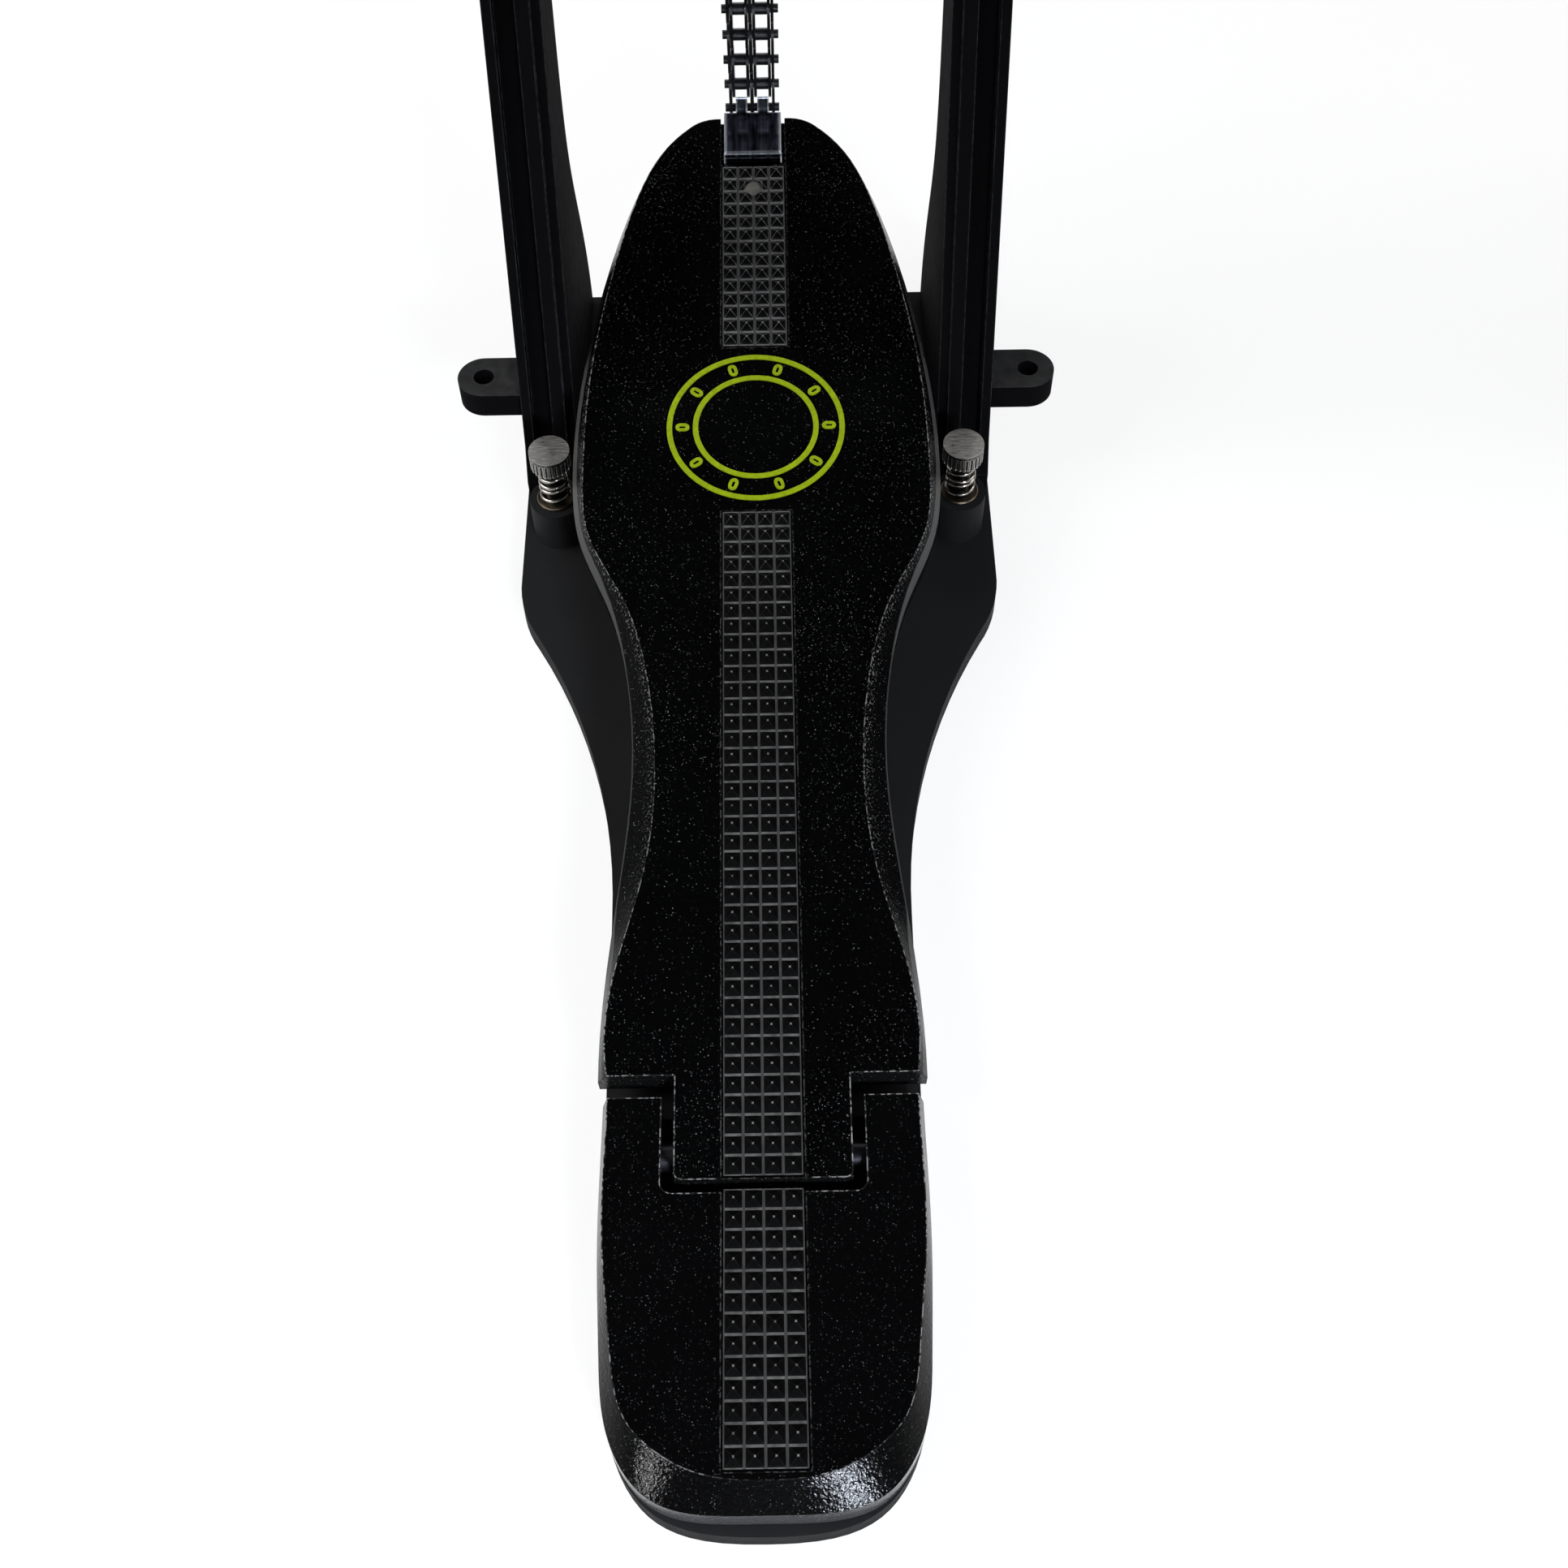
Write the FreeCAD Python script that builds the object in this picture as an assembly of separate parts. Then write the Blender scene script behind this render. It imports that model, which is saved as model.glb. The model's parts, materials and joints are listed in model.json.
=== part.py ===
"""Double bass drum pedal: a left pedal, a right pedal and the drive shaft between them.

Millimetres, +Z up, +Y towards the drum, +X to the player's right. The origin is on the floor,
on the right pedal's centre line, below the pin on which its footboard turns.
"""
import FreeCAD
import Part
import math
import os

V = FreeCAD.Vector
X_AXIS = V(1, 0, 0)
Z_AXIS = V(0, 0, 1)

# The two pedals
PEDAL_SPACING = 330.0          # between the two centre lines

# Fits
RUNNING_CLEARANCE = 0.05       # radial, a shaft that turns
SEAT_CLEARANCE = 0.03          # radial, a piece held fast on another
SIDE_CLEARANCE = 0.4           # between faces that pass each other

# Across a pedal, from the beaters outwards
BEATER_HEAD_RADIUS = 22.0
BEATER_HEAD_GAP = 20.0         # between the two felt heads
BEATER_HUB_HALF = 6.8
HUB_POST_GAP = 6.8             # from a beater's hub to the post beside it
POST_WIDTH = 13.2
POST_EDGE_MARGIN = 0.7         # plate shows this far outside a post
BEATER_X = BEATER_HEAD_RADIUS + BEATER_HEAD_GAP / 2
POST_INNER_X = BEATER_X + BEATER_HUB_HALF + HUB_POST_GAP
POST_OUTER_X = POST_INNER_X + POST_WIDTH
PLATE_HALF_WIDTH = POST_OUTER_X + POST_EDGE_MARGIN

# Floor mat and base plate
MAT_THICKNESS = 2.5
PLATE_THICKNESS = 3.5
PLATE_FRONT_Y = 259.0
PLATE_WIDE_FROM_Y = 140.0      # where the waist arc meets the wide front
PLATE_CORNER_RADIUS = 8.0
NECK_HALF_WIDTH = 33.5
NECK_ARC_START_Y = 60.0        # the waist arc leaves the neck here
PLATE_HEEL_MARGIN = 2.4        # plate shows this far behind the heel
PLATE_TOP = MAT_THICKNESS + PLATE_THICKNESS

# Footboard hinge
HINGE_Z = 12.5
HINGE_PIN_RADIUS = 3.0
HINGE_HALF_LENGTH = 32.0
BOARD_SLOPE = 6.9              # degrees, foot lifted off

# Footboard, in its own frame: u along the board from the hinge pin, n above the pin
BOARD_TOP = 6.5
BOARD_BEVEL = 4.0              # drop from the flat top to the edge of the side wall
BOARD_THICKNESS = 8.5
BOARD_ROOF = 4.5
BOARD_WALL = 5.0
RIB_HALF = 1.5
SHOULDER_U = 15.5
TOE_U = 278.0
BOARD_POST_GAP = 1.4           # between the board's widest place and the posts
BOARD_HALF_WIDTH = POST_INNER_X - BOARD_POST_GAP
TONGUE_HALF_WIDTH = 18.0
TONGUE_BACK = 6.2
TONGUE_CORNER_RADIUS = 1.5
HINGE_BARREL_RADIUS = 6.0
# outline of the board: (share of the way from shoulder to toe, how much narrower than the widest
# place the flat top is, and the side wall)
BOARD_STATIONS = [
    (0.000, 12.2, 10.2),
    (0.078, 12.8, 11.0),
    (0.170, 18.8, 13.6),
    (0.261, 21.1, 15.7),
    (0.352, 19.2, 14.6),
    (0.436, 13.0, 9.4),
    (0.505, 4.4, 2.2),
    (0.570, 2.7, 0.0),
    (0.665, 3.4, 0.8),
    (0.794, 8.0, 5.8),
    (0.886, 13.4, 11.6),
    (0.962, 21.6, 20.2),
]
TOE_TOP_HALF = 14.0
TOE_WALL_HALF = 15.0
TOE_CORNER = 4.0               # from the toe's corner to where its rounding starts
RIB_SHARES = [0.032, 0.238, 0.444, 0.650, 0.810, 0.909]   # cross ribs, as shares of the same way

# Heel plate
HEEL_TOP = 17.0
HEEL_BEVEL = 4.5
HEEL_FRONT_Y = 11.5
HEEL_NOTCH_HALF_WIDTH = 20.8
HEEL_NOTCH_Y = -9.2
HEEL_REAR_Y = -65.0
HEEL_CORNER_RADIUS = 2.5
# (y, half width of the flat top, and of the side wall) from the front to the middle of the rear edge
HEEL_STATIONS = [
    (HEEL_FRONT_Y, 32.0, 33.2),
    (-18.0, 32.1, 33.3),
    (-40.0, 29.8, 32.2),
    (-54.0, 26.2, 29.6),
    (-60.5, 19.2, 23.6),
]
HEEL_WALL_REAR = 5.2           # wall stands out this far past the flat top at the rear
HEEL_CORNER_SHARE = 0.3        # of the plate's margin that is left at the rear corners

# Tread strips of raised pyramids
TREAD_COLUMNS = 4
TREAD_COLUMN_PITCH = 4.0
TREAD_ROW_PITCH = 4.18
TREAD_BASE = 1.0
TREAD_PYRAMID = 1.3
TREAD_VALLEY = 0.55            # flat line between two pyramids
TREAD_SINK = 0.8               # depth of the channel that holds a strip
BOARD_TREAD_START_U = -5.6
BOARD_TREAD_ROWS = 38
TOE_TREAD_ROWS = 14
TOE_TREAD_MARGIN = 17.0        # from the toe strip's end to the toe
TOE_TREAD_START_U = TOE_U - TOE_TREAD_MARGIN - TOE_TREAD_ROWS * TREAD_ROW_PITCH
HEEL_TREAD_START_Y = -63.0
HEEL_TREAD_ROWS = 13

# Posts
POST_FLANGE = 2.4              # outer flange of the grooved rear face
POST_GROOVE = 5.0
POST_RIB = 3.4
POST_GROOVE_DEPTH = 3.0
POST_STEP_DEPTH = 1.2
POST_FOOT_REAR_Y = 184.0
POST_FOOT_HEIGHT = 7.0
POST_KNEE_Y = 189.0
POST_KNEE_Z = 21.0
POST_FOOT_FRONT_Y = 257.0
AXLE_Y = 243.5
AXLE_Z = 150.0
POST_HEAD_REAR = 7.5           # post at axle height, behind and ahead of the axle
POST_HEAD_FRONT = 10.0
# hollow front edge of a post: (ahead of the axle, above the plate)
POST_FRONT_STATIONS = [(4.0, 101.0), (-0.5, 62.0), (9.5, 28.0)]
HOUSING_RADIUS = 14.5
HOUSING_PROUD = 1.0
LUG_REACH = 9.7                # bore of a lug, outside the post
LUG_X = POST_OUTER_X + LUG_REACH
LUG_Y = 201.5
LUG_TOP = 33.0
LUG_THICKNESS = 7.0
LUG_RADIUS = 6.6
LUG_BORE_RADIUS = 2.6

# Bearings and axles
BEARING_RADIUS = 11.0
BEARING_WIDTH = 7.0
AXLE_RADIUS = 4.0
AXLE_OUTER_END = POST_OUTER_X + 14.2
SLEEVE_RADIUS = 7.0            # thick part of the short axle that carries the left beater
PILOT_RADIUS = 2.5
SLEEVE_INNER_X = BEATER_X - 13.0
PILOT_LENGTH = 16.0
SLEEVE_OUTER_X = POST_INNER_X - 2.0

# Chain: two strands of bushed links
CHAIN_PITCH = 8.0
STRAND_OFFSET = 2.82
BUSH_RADIUS = 1.5
BUSH_WIDTH = 3.0
CHAIN_PLATE = 0.75
CHAIN_PLATE_HALF_HEIGHT = 3.4
CHAIN_PIN_RADIUS = 1.1
CHAIN_PIN_HALF_LENGTH = 7.1
CHAIN_SIDE_GAP = 0.12
CHAIN_BORE_SLACK = 0.08
CAM_PITCH_RADIUS = 25.0
CLIP_PIN_AHEAD = 3.2           # chain's lowest pin, ahead of the toe
CLIP_PIN_U = TOE_U + CLIP_PIN_AHEAD
CLIP_PIN_N = 7.4
LOOSE_LINKS = 3                # links that leave the cam as the board goes down

# Cam
CAM_HUB_RADIUS = 11.0
CAM_HALF_WIDTH = 7.4
CAM_DRUM_RADIUS = 20.6
CAM_RIM_RADIUS = CAM_PITCH_RADIUS - BUSH_RADIUS - 0.3
CAM_RIM_WIDTH = 2.6
CAM_SECTOR_START = -42.0       # degrees from the front, seen from the right
CAM_SECTOR_END = 112.0

# Chain clip
CLIP_HALF_WIDTH = 7.5
CLIP_LENGTH = 15.6             # clip's back edge, behind the toe
CLIP_BACK_U = TOE_U - CLIP_LENGTH
CLIP_SHEET = 1.0
CLIP_FOLD_RADIUS = 2.6         # outside of the fold round the chain's lowest pin
CLIP_ROUND = 0.8               # rounded rim of the cap
CLIP_SLOT = 0.9                # gap on each side of the clip
CLIP_FLOOR = BOARD_TOP - TREAD_SINK - CLIP_SHEET
CLIP_TONGUE_HALF = 4.5         # tongue under the toe strip
CLIP_SCREW_BEHIND = 9.0        # screw, behind the cap
CLIP_SCREW_U = CLIP_BACK_U - CLIP_SCREW_BEHIND
CLIP_SCREW_RADIUS = 2.3
CLIP_SHANK_RADIUS = CLIP_SCREW_RADIUS * 0.55
CLIP_TONGUE_BACK_U = CLIP_SCREW_U - 5.0

# Spur screws
SPUR_EDGE_DISTANCE = 9.0       # from the plate's edge
SPUR_X = PLATE_HALF_WIDTH - SPUR_EDGE_DISTANCE
SPUR_Y = 174.2
SPUR_BOSS_RADIUS = 6.6
SPUR_BOSS_HEIGHT = 12.0
SPUR_RADIUS = 2.3
SPUR_KNOB_RADIUS = 5.0
SPUR_KNOB_HEIGHT = 4.7
SPUR_TOP = 35.0
SPUR_TIP = 1.0
SPUR_FLUTES = 26
SPUR_FLUTE_RADIUS = 0.35
SPUR_SPRING_RADIUS = 3.1
SPUR_SPRING_WIRE = 0.5
SPUR_SPRING_TURNS = 5

# Return springs
SPRING_PEG_Z = 50.0
SPRING_ARM_LENGTH = 14.0
SPRING_ARM_THICKNESS = 5.0
SPRING_PEG_RADIUS = 1.6
SPRING_RADIUS = 6.0
SPRING_WIRE = 1.0
SPRING_TURNS = 16
SPRING_LOOP_RADIUS = 5.0       # leaves the arm's peg the room that the stroke needs
BOLT_RADIUS = 2.5
BOLT_BOTTOM = 10.0
NUT_RADIUS = 5.5
NUT_HEIGHT = 4.0

# Beaters
BEATER_TILT = 44.0             # degrees back from upright, foot lifted off
BEATER_HUB_RADIUS = 12.0
BEATER_CLAMP_LENGTH = 34.0
BEATER_ROD_RADIUS = 3.0
BEATER_ROD_START = 11.0
BEATER_ROD_LENGTH = 178.0
BEATER_HEAD_LENGTH = 46.0
BEATER_FACE_ROUND = 5.0

# Drive shaft
YOKE_RADIUS = 10.0
YOKE_SLEEVE_RADIUS = AXLE_RADIUS + 1.5     # clear of the slack end of the left spring's loop
YOKE_SLEEVE_START = POST_OUTER_X + 5.7
YOKE_HUB_START = LUG_X + SPRING_RADIUS + SPRING_WIRE + 3.0
YOKE_HUB_LENGTH = 9.5
YOKE_HUB_END = YOKE_HUB_START + YOKE_HUB_LENGTH
AXLE_HUB_END = YOKE_HUB_END
YOKE_ARM_HALF = 5.0
YOKE_ARM_THICKNESS = 3.6
CROSS_X = YOKE_HUB_END + 10.0
CROSS_HALF = 4.2
CROSS_PIN_RADIUS = 2.3
SHAFT_DISC_START = CROSS_X + 9.5
SHAFT_DISC_END = SHAFT_DISC_START + 6.5
TUBE_RADIUS = 8.6
TUBE_LENGTH = 76.0
COLLAR_RADIUS = 11.5
COLLAR_LENGTH = 14.0
ROD_ACROSS_FLATS = 9.0
ROD_LENGTH = 80.0

# Hoop clamp on the right pedal
CLAMP_TONGUE_HALF = 22.0
CLAMP_EAR_X = 13.5
CLAMP_EAR_THICKNESS = 4.5
CLAMP_PIVOT_AHEAD = 34.0       # jaw's pin, ahead of the plate's front edge
CLAMP_PIVOT_Y = PLATE_FRONT_Y + CLAMP_PIVOT_AHEAD
CLAMP_EAR_RADIUS = 6.0
CLAMP_PIN_RADIUS = 2.5
CLAMP_SCREW_AHEAD = 12.0       # screw, ahead of the jaw's pin
CLAMP_SCREW_Y = CLAMP_PIVOT_Y + CLAMP_SCREW_AHEAD
CLAMP_SCREW_RADIUS = 3.0
CLAMP_HEAD_RADIUS = 6.8
CLAMP_SLOT_SLACK = 2.4
JAW_THICKNESS = 7.0
JAW_LIP_AHEAD = 13.0           # lip, ahead of the screw
JAW_LIP_LENGTH = 12.0
JAW_LIP_RISE = 2.0             # lip's underside above the jaw's
JAW_GAP = 12.5                 # opening under the lip that takes the drum hoop
JAW_LIP_Y = CLAMP_SCREW_Y + JAW_LIP_AHEAD
CLAMP_FRONT_Y = JAW_LIP_Y + JAW_LIP_LENGTH
CLAMP_PIVOT_Z = PLATE_TOP + JAW_GAP - JAW_LIP_RISE + JAW_THICKNESS / 2
WING_HALF_LENGTH = 18.0
WING_THICKNESS = 4.4
WING_RISE = 6.0

os.makedirs("parts", exist_ok=True)


def box(x0, x1, y0, y1, z0, z1):
    """Block between two corners."""
    return Part.makeBox(x1 - x0, y1 - y0, z1 - z0, V(x0, y0, z0))


def round_corners(block, y, radius):
    """Block with its two upright edges at y rounded."""
    uprights = [e for e in block.Edges if all(abs(v.Y - y) < 0.001 for v in e.Vertexes)
                and abs(e.Vertexes[0].Z - e.Vertexes[1].Z) > 0.001]
    return block.makeFillet(radius, uprights)


def rod_x(y, z, radius, x0, x1):
    """Cylinder along X."""
    return Part.makeCylinder(radius, x1 - x0, V(x0, y, z), X_AXIS)


def rod_z(x, y, radius, z0, z1):
    """Cylinder along Z."""
    return Part.makeCylinder(radius, z1 - z0, V(x, y, z0), Z_AXIS)


def spline(points):
    """Smooth edge through the points."""
    curve = Part.BSplineCurve()
    curve.interpolate(points)
    return curve.toShape()


def line(a, b):
    return Part.makeLine(a, b)


def sweep(edges, direction):
    """Solid from a closed run of edges, pushed along a direction."""
    wire = Part.Wire(Part.__sortEdges__(edges))
    return Part.Face(wire).extrude(direction)


def prism_x(points, x0, x1):
    """Flat outline of (y, z) points pushed along X."""
    corners = [V(x0, y, z) for y, z in points]
    return Part.Face(Part.makePolygon(corners + corners[:1])).extrude(V(x1 - x0, 0, 0))


def mirror_x(points):
    return [V(-p.x, p.y, p.z) for p in points]


def join(shapes):
    """One solid from pieces that meet."""
    return shapes[0].multiFuse(shapes[1:]).removeSplitter()


def on_board(shape):
    """From the footboard's own frame to its resting place on the hinge."""
    placed = shape.copy()
    placed.rotate(V(0, 0, 0), X_AXIS, BOARD_SLOPE)
    placed.translate(V(0, 0, HINGE_Z))
    return placed


def save(name, shape, pedal_x=0.0):
    """Write one piece, moved to its pedal's centre line."""
    placed = shape.copy()
    placed.translate(V(pedal_x, 0, 0))
    if not placed.isValid():
        print("invalid shape:", name)
    placed.exportStep("parts/" + name + ".step")


# Base plate and floor mat
def heel_edge(at_wall, margin, z):
    """Right half of the heel's outline, from its front corner to the middle of its rear edge.

    The outline is the flat top's, or the wall's, and the margin is behind the rear edge only.
    """
    points = []
    for y, top_half, wall_half in HEEL_STATIONS:
        points.append(V(wall_half if at_wall else top_half, y, z))
    overhang = HEEL_WALL_REAR if at_wall else 0.0
    points[-1].y -= overhang + margin * HEEL_CORNER_SHARE
    points[-2].y -= overhang * 0.5
    points.append(V(0, HEEL_REAR_Y - overhang - margin, z))
    curve = Part.BSplineCurve()
    curve.interpolate(points, InitialTangent=V(0, -1, 0), FinalTangent=V(-1, 0, 0), Scale=True)
    return curve.toShape(), points[0]


def plate_edges(z):
    """Outline of the base plate: wide under the posts, arcs to the neck, rounded at the heel."""
    radius = PLATE_CORNER_RADIUS
    half = PLATE_HALF_WIDTH
    rise = PLATE_WIDE_FROM_Y - NECK_ARC_START_Y
    arc_end_half = half - radius * 0.6
    run = arc_end_half - NECK_HALF_WIDTH
    arc_radius = (run * run + rise * rise) / (2.0 * run)
    mid_angle = 0.5 * math.asin(rise / arc_radius)
    mid_x = NECK_HALF_WIDTH + arc_radius * (1.0 - math.cos(mid_angle))
    mid_y = NECK_ARC_START_Y + arc_radius * math.sin(mid_angle)
    heel, heel_front = heel_edge(True, PLATE_HEEL_MARGIN, z)
    neck = V(NECK_HALF_WIDTH, NECK_ARC_START_Y, z)
    waist_end = V(arc_end_half, PLATE_WIDE_FROM_Y, z)
    side_start = V(half, PLATE_WIDE_FROM_Y + 2.2 * radius, z)
    side_bend = V(half - radius * 0.12, PLATE_WIDE_FROM_Y + 1.1 * radius, z)
    side_end = V(half, PLATE_FRONT_Y - radius, z)
    corner = V(half - radius * (1 - math.sqrt(0.5)), PLATE_FRONT_Y - radius * (1 - math.sqrt(0.5)), z)
    front = V(half - radius, PLATE_FRONT_Y, z)
    edges = [
        heel,
        line(heel_front, neck),
        Part.Arc(neck, V(mid_x, mid_y, z), waist_end).toShape(),
        Part.Arc(waist_end, side_bend, side_start).toShape(),
        line(side_start, side_end),
        Part.Arc(side_end, corner, front).toShape(),
    ]
    mirrored = [edge.mirror(V(0, 0, 0), X_AXIS) for edge in edges]
    return edges + mirrored + [line(front, V(-front.x, front.y, z))]


def spur_holes(radius, z0, z1):
    holes = [rod_z(side * SPUR_X, SPUR_Y, radius, z0, z1) for side in (-1, 1)]
    return holes[0].fuse(holes[1])


def clamp_tongue(z0, z1):
    return box(-CLAMP_TONGUE_HALF, CLAMP_TONGUE_HALF, PLATE_FRONT_Y - 8, CLAMP_FRONT_Y, z0, z1)


def make_mat(with_clamp):
    mat = sweep(plate_edges(0), V(0, 0, MAT_THICKNESS))
    if with_clamp:
        tongue_hole = rod_z(0, CLAMP_SCREW_Y, CLAMP_SCREW_RADIUS + 1.5, -1, MAT_THICKNESS + 1)
        mat = join([mat, clamp_tongue(0, MAT_THICKNESS)]).cut(tongue_hole)
    return mat.cut(spur_holes(SPUR_RADIUS + 1.5, -1, MAT_THICKNESS + 1))


def make_base_plate(with_clamp):
    """Steel plate with the two raised bosses that the spur screws run in."""
    pieces = [sweep(plate_edges(MAT_THICKNESS), V(0, 0, PLATE_THICKNESS))]
    boss_top = PLATE_TOP + SPUR_BOSS_HEIGHT
    for side in (-1, 1):
        pieces.append(rod_z(side * SPUR_X, SPUR_Y, SPUR_BOSS_RADIUS, PLATE_TOP - 1, boss_top))
    if with_clamp:
        pieces.append(clamp_tongue(MAT_THICKNESS, PLATE_TOP))
    plate = join(pieces).cut(spur_holes(SPUR_RADIUS + RUNNING_CLEARANCE, 0, boss_top + 1))
    if with_clamp:
        bore = CLAMP_SCREW_RADIUS + RUNNING_CLEARANCE
        plate = plate.cut(rod_z(0, CLAMP_SCREW_Y, bore, 0, PLATE_TOP + 1))
    return plate


# Heel plate
def heel_wire(at_wall, z):
    edge, front = heel_edge(at_wall, 0.0, z)
    mirrored = edge.mirror(V(0, 0, 0), X_AXIS)
    front_edge = line(front, V(-front.x, front.y, z))
    return Part.Wire(Part.__sortEdges__([edge, mirrored, front_edge]))


def tread_channel(start, rows):
    """Block that cuts the channel of a strip whose first row starts at y, top face at z = 0."""
    half = TREAD_COLUMNS * TREAD_COLUMN_PITCH / 2 + SIDE_CLEARANCE
    end = start + rows * TREAD_ROW_PITCH
    return box(-half, half, start - SIDE_CLEARANCE, end + SIDE_CLEARANCE, -TREAD_SINK, 5)


def make_heel_plate():
    wires = [
        heel_wire(True, PLATE_TOP),
        heel_wire(True, HEEL_TOP - HEEL_BEVEL),
        heel_wire(False, HEEL_TOP),
    ]
    heel = Part.makeLoft(wires, True, True)
    half = HEEL_NOTCH_HALF_WIDTH
    notch = box(-half, half, HEEL_NOTCH_Y, HEEL_FRONT_Y + 5, 0, HEEL_TOP + 5)
    heel = heel.cut(round_corners(notch, HEEL_NOTCH_Y, HEEL_CORNER_RADIUS))
    bore = HINGE_PIN_RADIUS + SEAT_CLEARANCE
    heel = heel.cut(rod_x(0, HINGE_Z, bore, -HINGE_HALF_LENGTH, HINGE_HALF_LENGTH))
    channel = tread_channel(HEEL_TREAD_START_Y, HEEL_TREAD_ROWS)
    channel.translate(V(0, 0, HEEL_TOP))
    return heel.cut(channel)


# Tread strips
def tread_strip(start, rows):
    """Strip with rows of square pyramids, in one closed skin; its seat is at z = -TREAD_SINK."""
    half = TREAD_COLUMNS * TREAD_COLUMN_PITCH / 2
    end = start + rows * TREAD_ROW_PITCH
    low = -TREAD_SINK
    high = low + TREAD_BASE
    peak = high + TREAD_PYRAMID
    faces = []
    holes = []
    for column in range(TREAD_COLUMNS):
        x0 = -half + column * TREAD_COLUMN_PITCH + TREAD_VALLEY / 2
        x1 = x0 + TREAD_COLUMN_PITCH - TREAD_VALLEY
        for row in range(rows):
            y0 = start + row * TREAD_ROW_PITCH + TREAD_VALLEY / 2
            y1 = y0 + TREAD_ROW_PITCH - TREAD_VALLEY
            ring = [V(x0, y0, high), V(x1, y0, high), V(x1, y1, high), V(x0, y1, high)]
            apex = V((x0 + x1) / 2, (y0 + y1) / 2, peak)
            holes.append(Part.makePolygon(ring + ring[:1]))
            for a, b in zip(ring, ring[1:] + ring[:1]):
                faces.append(Part.Face(Part.makePolygon([a, b, apex, a])))
    bottom = [V(-half, start, low), V(half, start, low), V(half, end, low), V(-half, end, low)]
    top = [V(p.x, p.y, high) for p in bottom]
    top_face = Part.Face(Part.makePolygon(top + top[:1]))
    faces.append(top_face.cut(Part.makeCompound([Part.Face(hole) for hole in holes])))
    faces.append(Part.Face(Part.makePolygon(bottom + bottom[:1])))
    for i in range(4):
        j = (i + 1) % 4
        faces.append(Part.Face(Part.makePolygon([bottom[i], bottom[j], top[j], top[i], bottom[i]])))
    flat_faces = []
    for face in faces:
        flat_faces.extend(face.Faces)
    shell = Part.makeShell(flat_faces)
    shell.sewShape()
    solid = Part.makeSolid(shell)
    if solid.Volume < 0:
        solid.reverse()
    return solid


def make_heel_tread():
    strip = tread_strip(HEEL_TREAD_START_Y, HEEL_TREAD_ROWS)
    strip.translate(V(0, 0, HEEL_TOP))
    return strip


def make_board_tread():
    strips = [
        tread_strip(BOARD_TREAD_START_U, BOARD_TREAD_ROWS),
        tread_strip(TOE_TREAD_START_U, TOE_TREAD_ROWS),
    ]
    for strip in strips:
        strip.translate(V(0, 0, BOARD_TOP))
    seat = BOARD_TOP + TREAD_BASE - TREAD_SINK
    head_room = rod_z(0, CLIP_SCREW_U, CLIP_SCREW_RADIUS + SEAT_CLEARANCE, seat, seat + 5)
    shank_hole = rod_z(0, CLIP_SCREW_U, CLIP_SHANK_RADIUS + SEAT_CLEARANCE, 0, seat + 5)
    strips[1] = strips[1].cut(head_room.fuse(shank_hole))
    return on_board(Part.makeCompound(strips))


# Footboard
def board_u(share):
    """Place along the board at a share of the way from its shoulder to its toe."""
    return SHOULDER_U + share * (TOE_U - SHOULDER_U)


def board_side(column, toe_half, inset, n, u_from, u_to):
    """Points of the right edge between two places along the board."""
    points = [V(BOARD_HALF_WIDTH - row[column] - inset, board_u(row[0]), n) for row in BOARD_STATIONS]
    points.append(V(toe_half - inset, TOE_U, n))
    return [p for p in points if u_from <= p.y <= u_to]


def board_wire(column, toe_half, n):
    right = board_side(column, toe_half, 0.0, n, SHOULDER_U, TOE_U)
    corner = right.pop()
    back = right[-1] - corner
    side_end = corner + back * (TOE_CORNER / back.Length)
    front_end = corner - X_AXIS * TOE_CORNER
    middle = corner * 0.4 + (side_end + front_end) * 0.3
    right.append(side_end)
    rounding = Part.Arc(side_end, middle, front_end).toShape()
    edges = [
        spline(right),
        rounding,
        line(front_end, V(-front_end.x, TOE_U, n)),
        rounding.mirror(V(0, 0, 0), X_AXIS),
        spline(mirror_x(right)),
        line(right[0], V(-right[0].x, SHOULDER_U, n)),
    ]
    return Part.Wire(Part.__sortEdges__(edges))


def board_pockets():
    """Hollows under the board, left and right of the spine and between the cross ribs."""
    low = BOARD_TOP - BOARD_THICKNESS - 1
    high = BOARD_TOP - BOARD_ROOF
    ribs = [board_u(share) for share in RIB_SHARES]
    right = board_side(2, TOE_WALL_HALF, BOARD_WALL, low, ribs[0], ribs[-1] + 15)
    edges = [
        spline(right),
        spline(mirror_x(right)),
        line(right[0], V(-right[0].x, right[0].y, low)),
        line(right[-1], V(-right[-1].x, right[-1].y, low)),
    ]
    hollow = sweep(edges, V(0, 0, high - low))
    cells = []
    for u0, u1 in zip(ribs[:-1], ribs[1:]):
        for x0, x1 in ((-BOARD_HALF_WIDTH, -RIB_HALF), (RIB_HALF, BOARD_HALF_WIDTH)):
            cells.append(box(x0, x1, u0 + RIB_HALF, u1 - RIB_HALF, low, high))
    return hollow.common(Part.makeCompound(cells))


def clip_recess():
    """Open recess at the toe, and the shallow bed of the clip's tongue behind it."""
    half = CLIP_HALF_WIDTH + CLIP_SLOT
    open_end = box(-half, half, CLIP_BACK_U - SIDE_CLEARANCE, TOE_U + 5, CLIP_FLOOR, BOARD_TOP + 5)
    half = CLIP_TONGUE_HALF + SIDE_CLEARANCE
    bed = box(-half, half, CLIP_TONGUE_BACK_U - SIDE_CLEARANCE, CLIP_BACK_U + 1, CLIP_FLOOR, BOARD_TOP)
    return open_end.fuse(bed)


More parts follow.
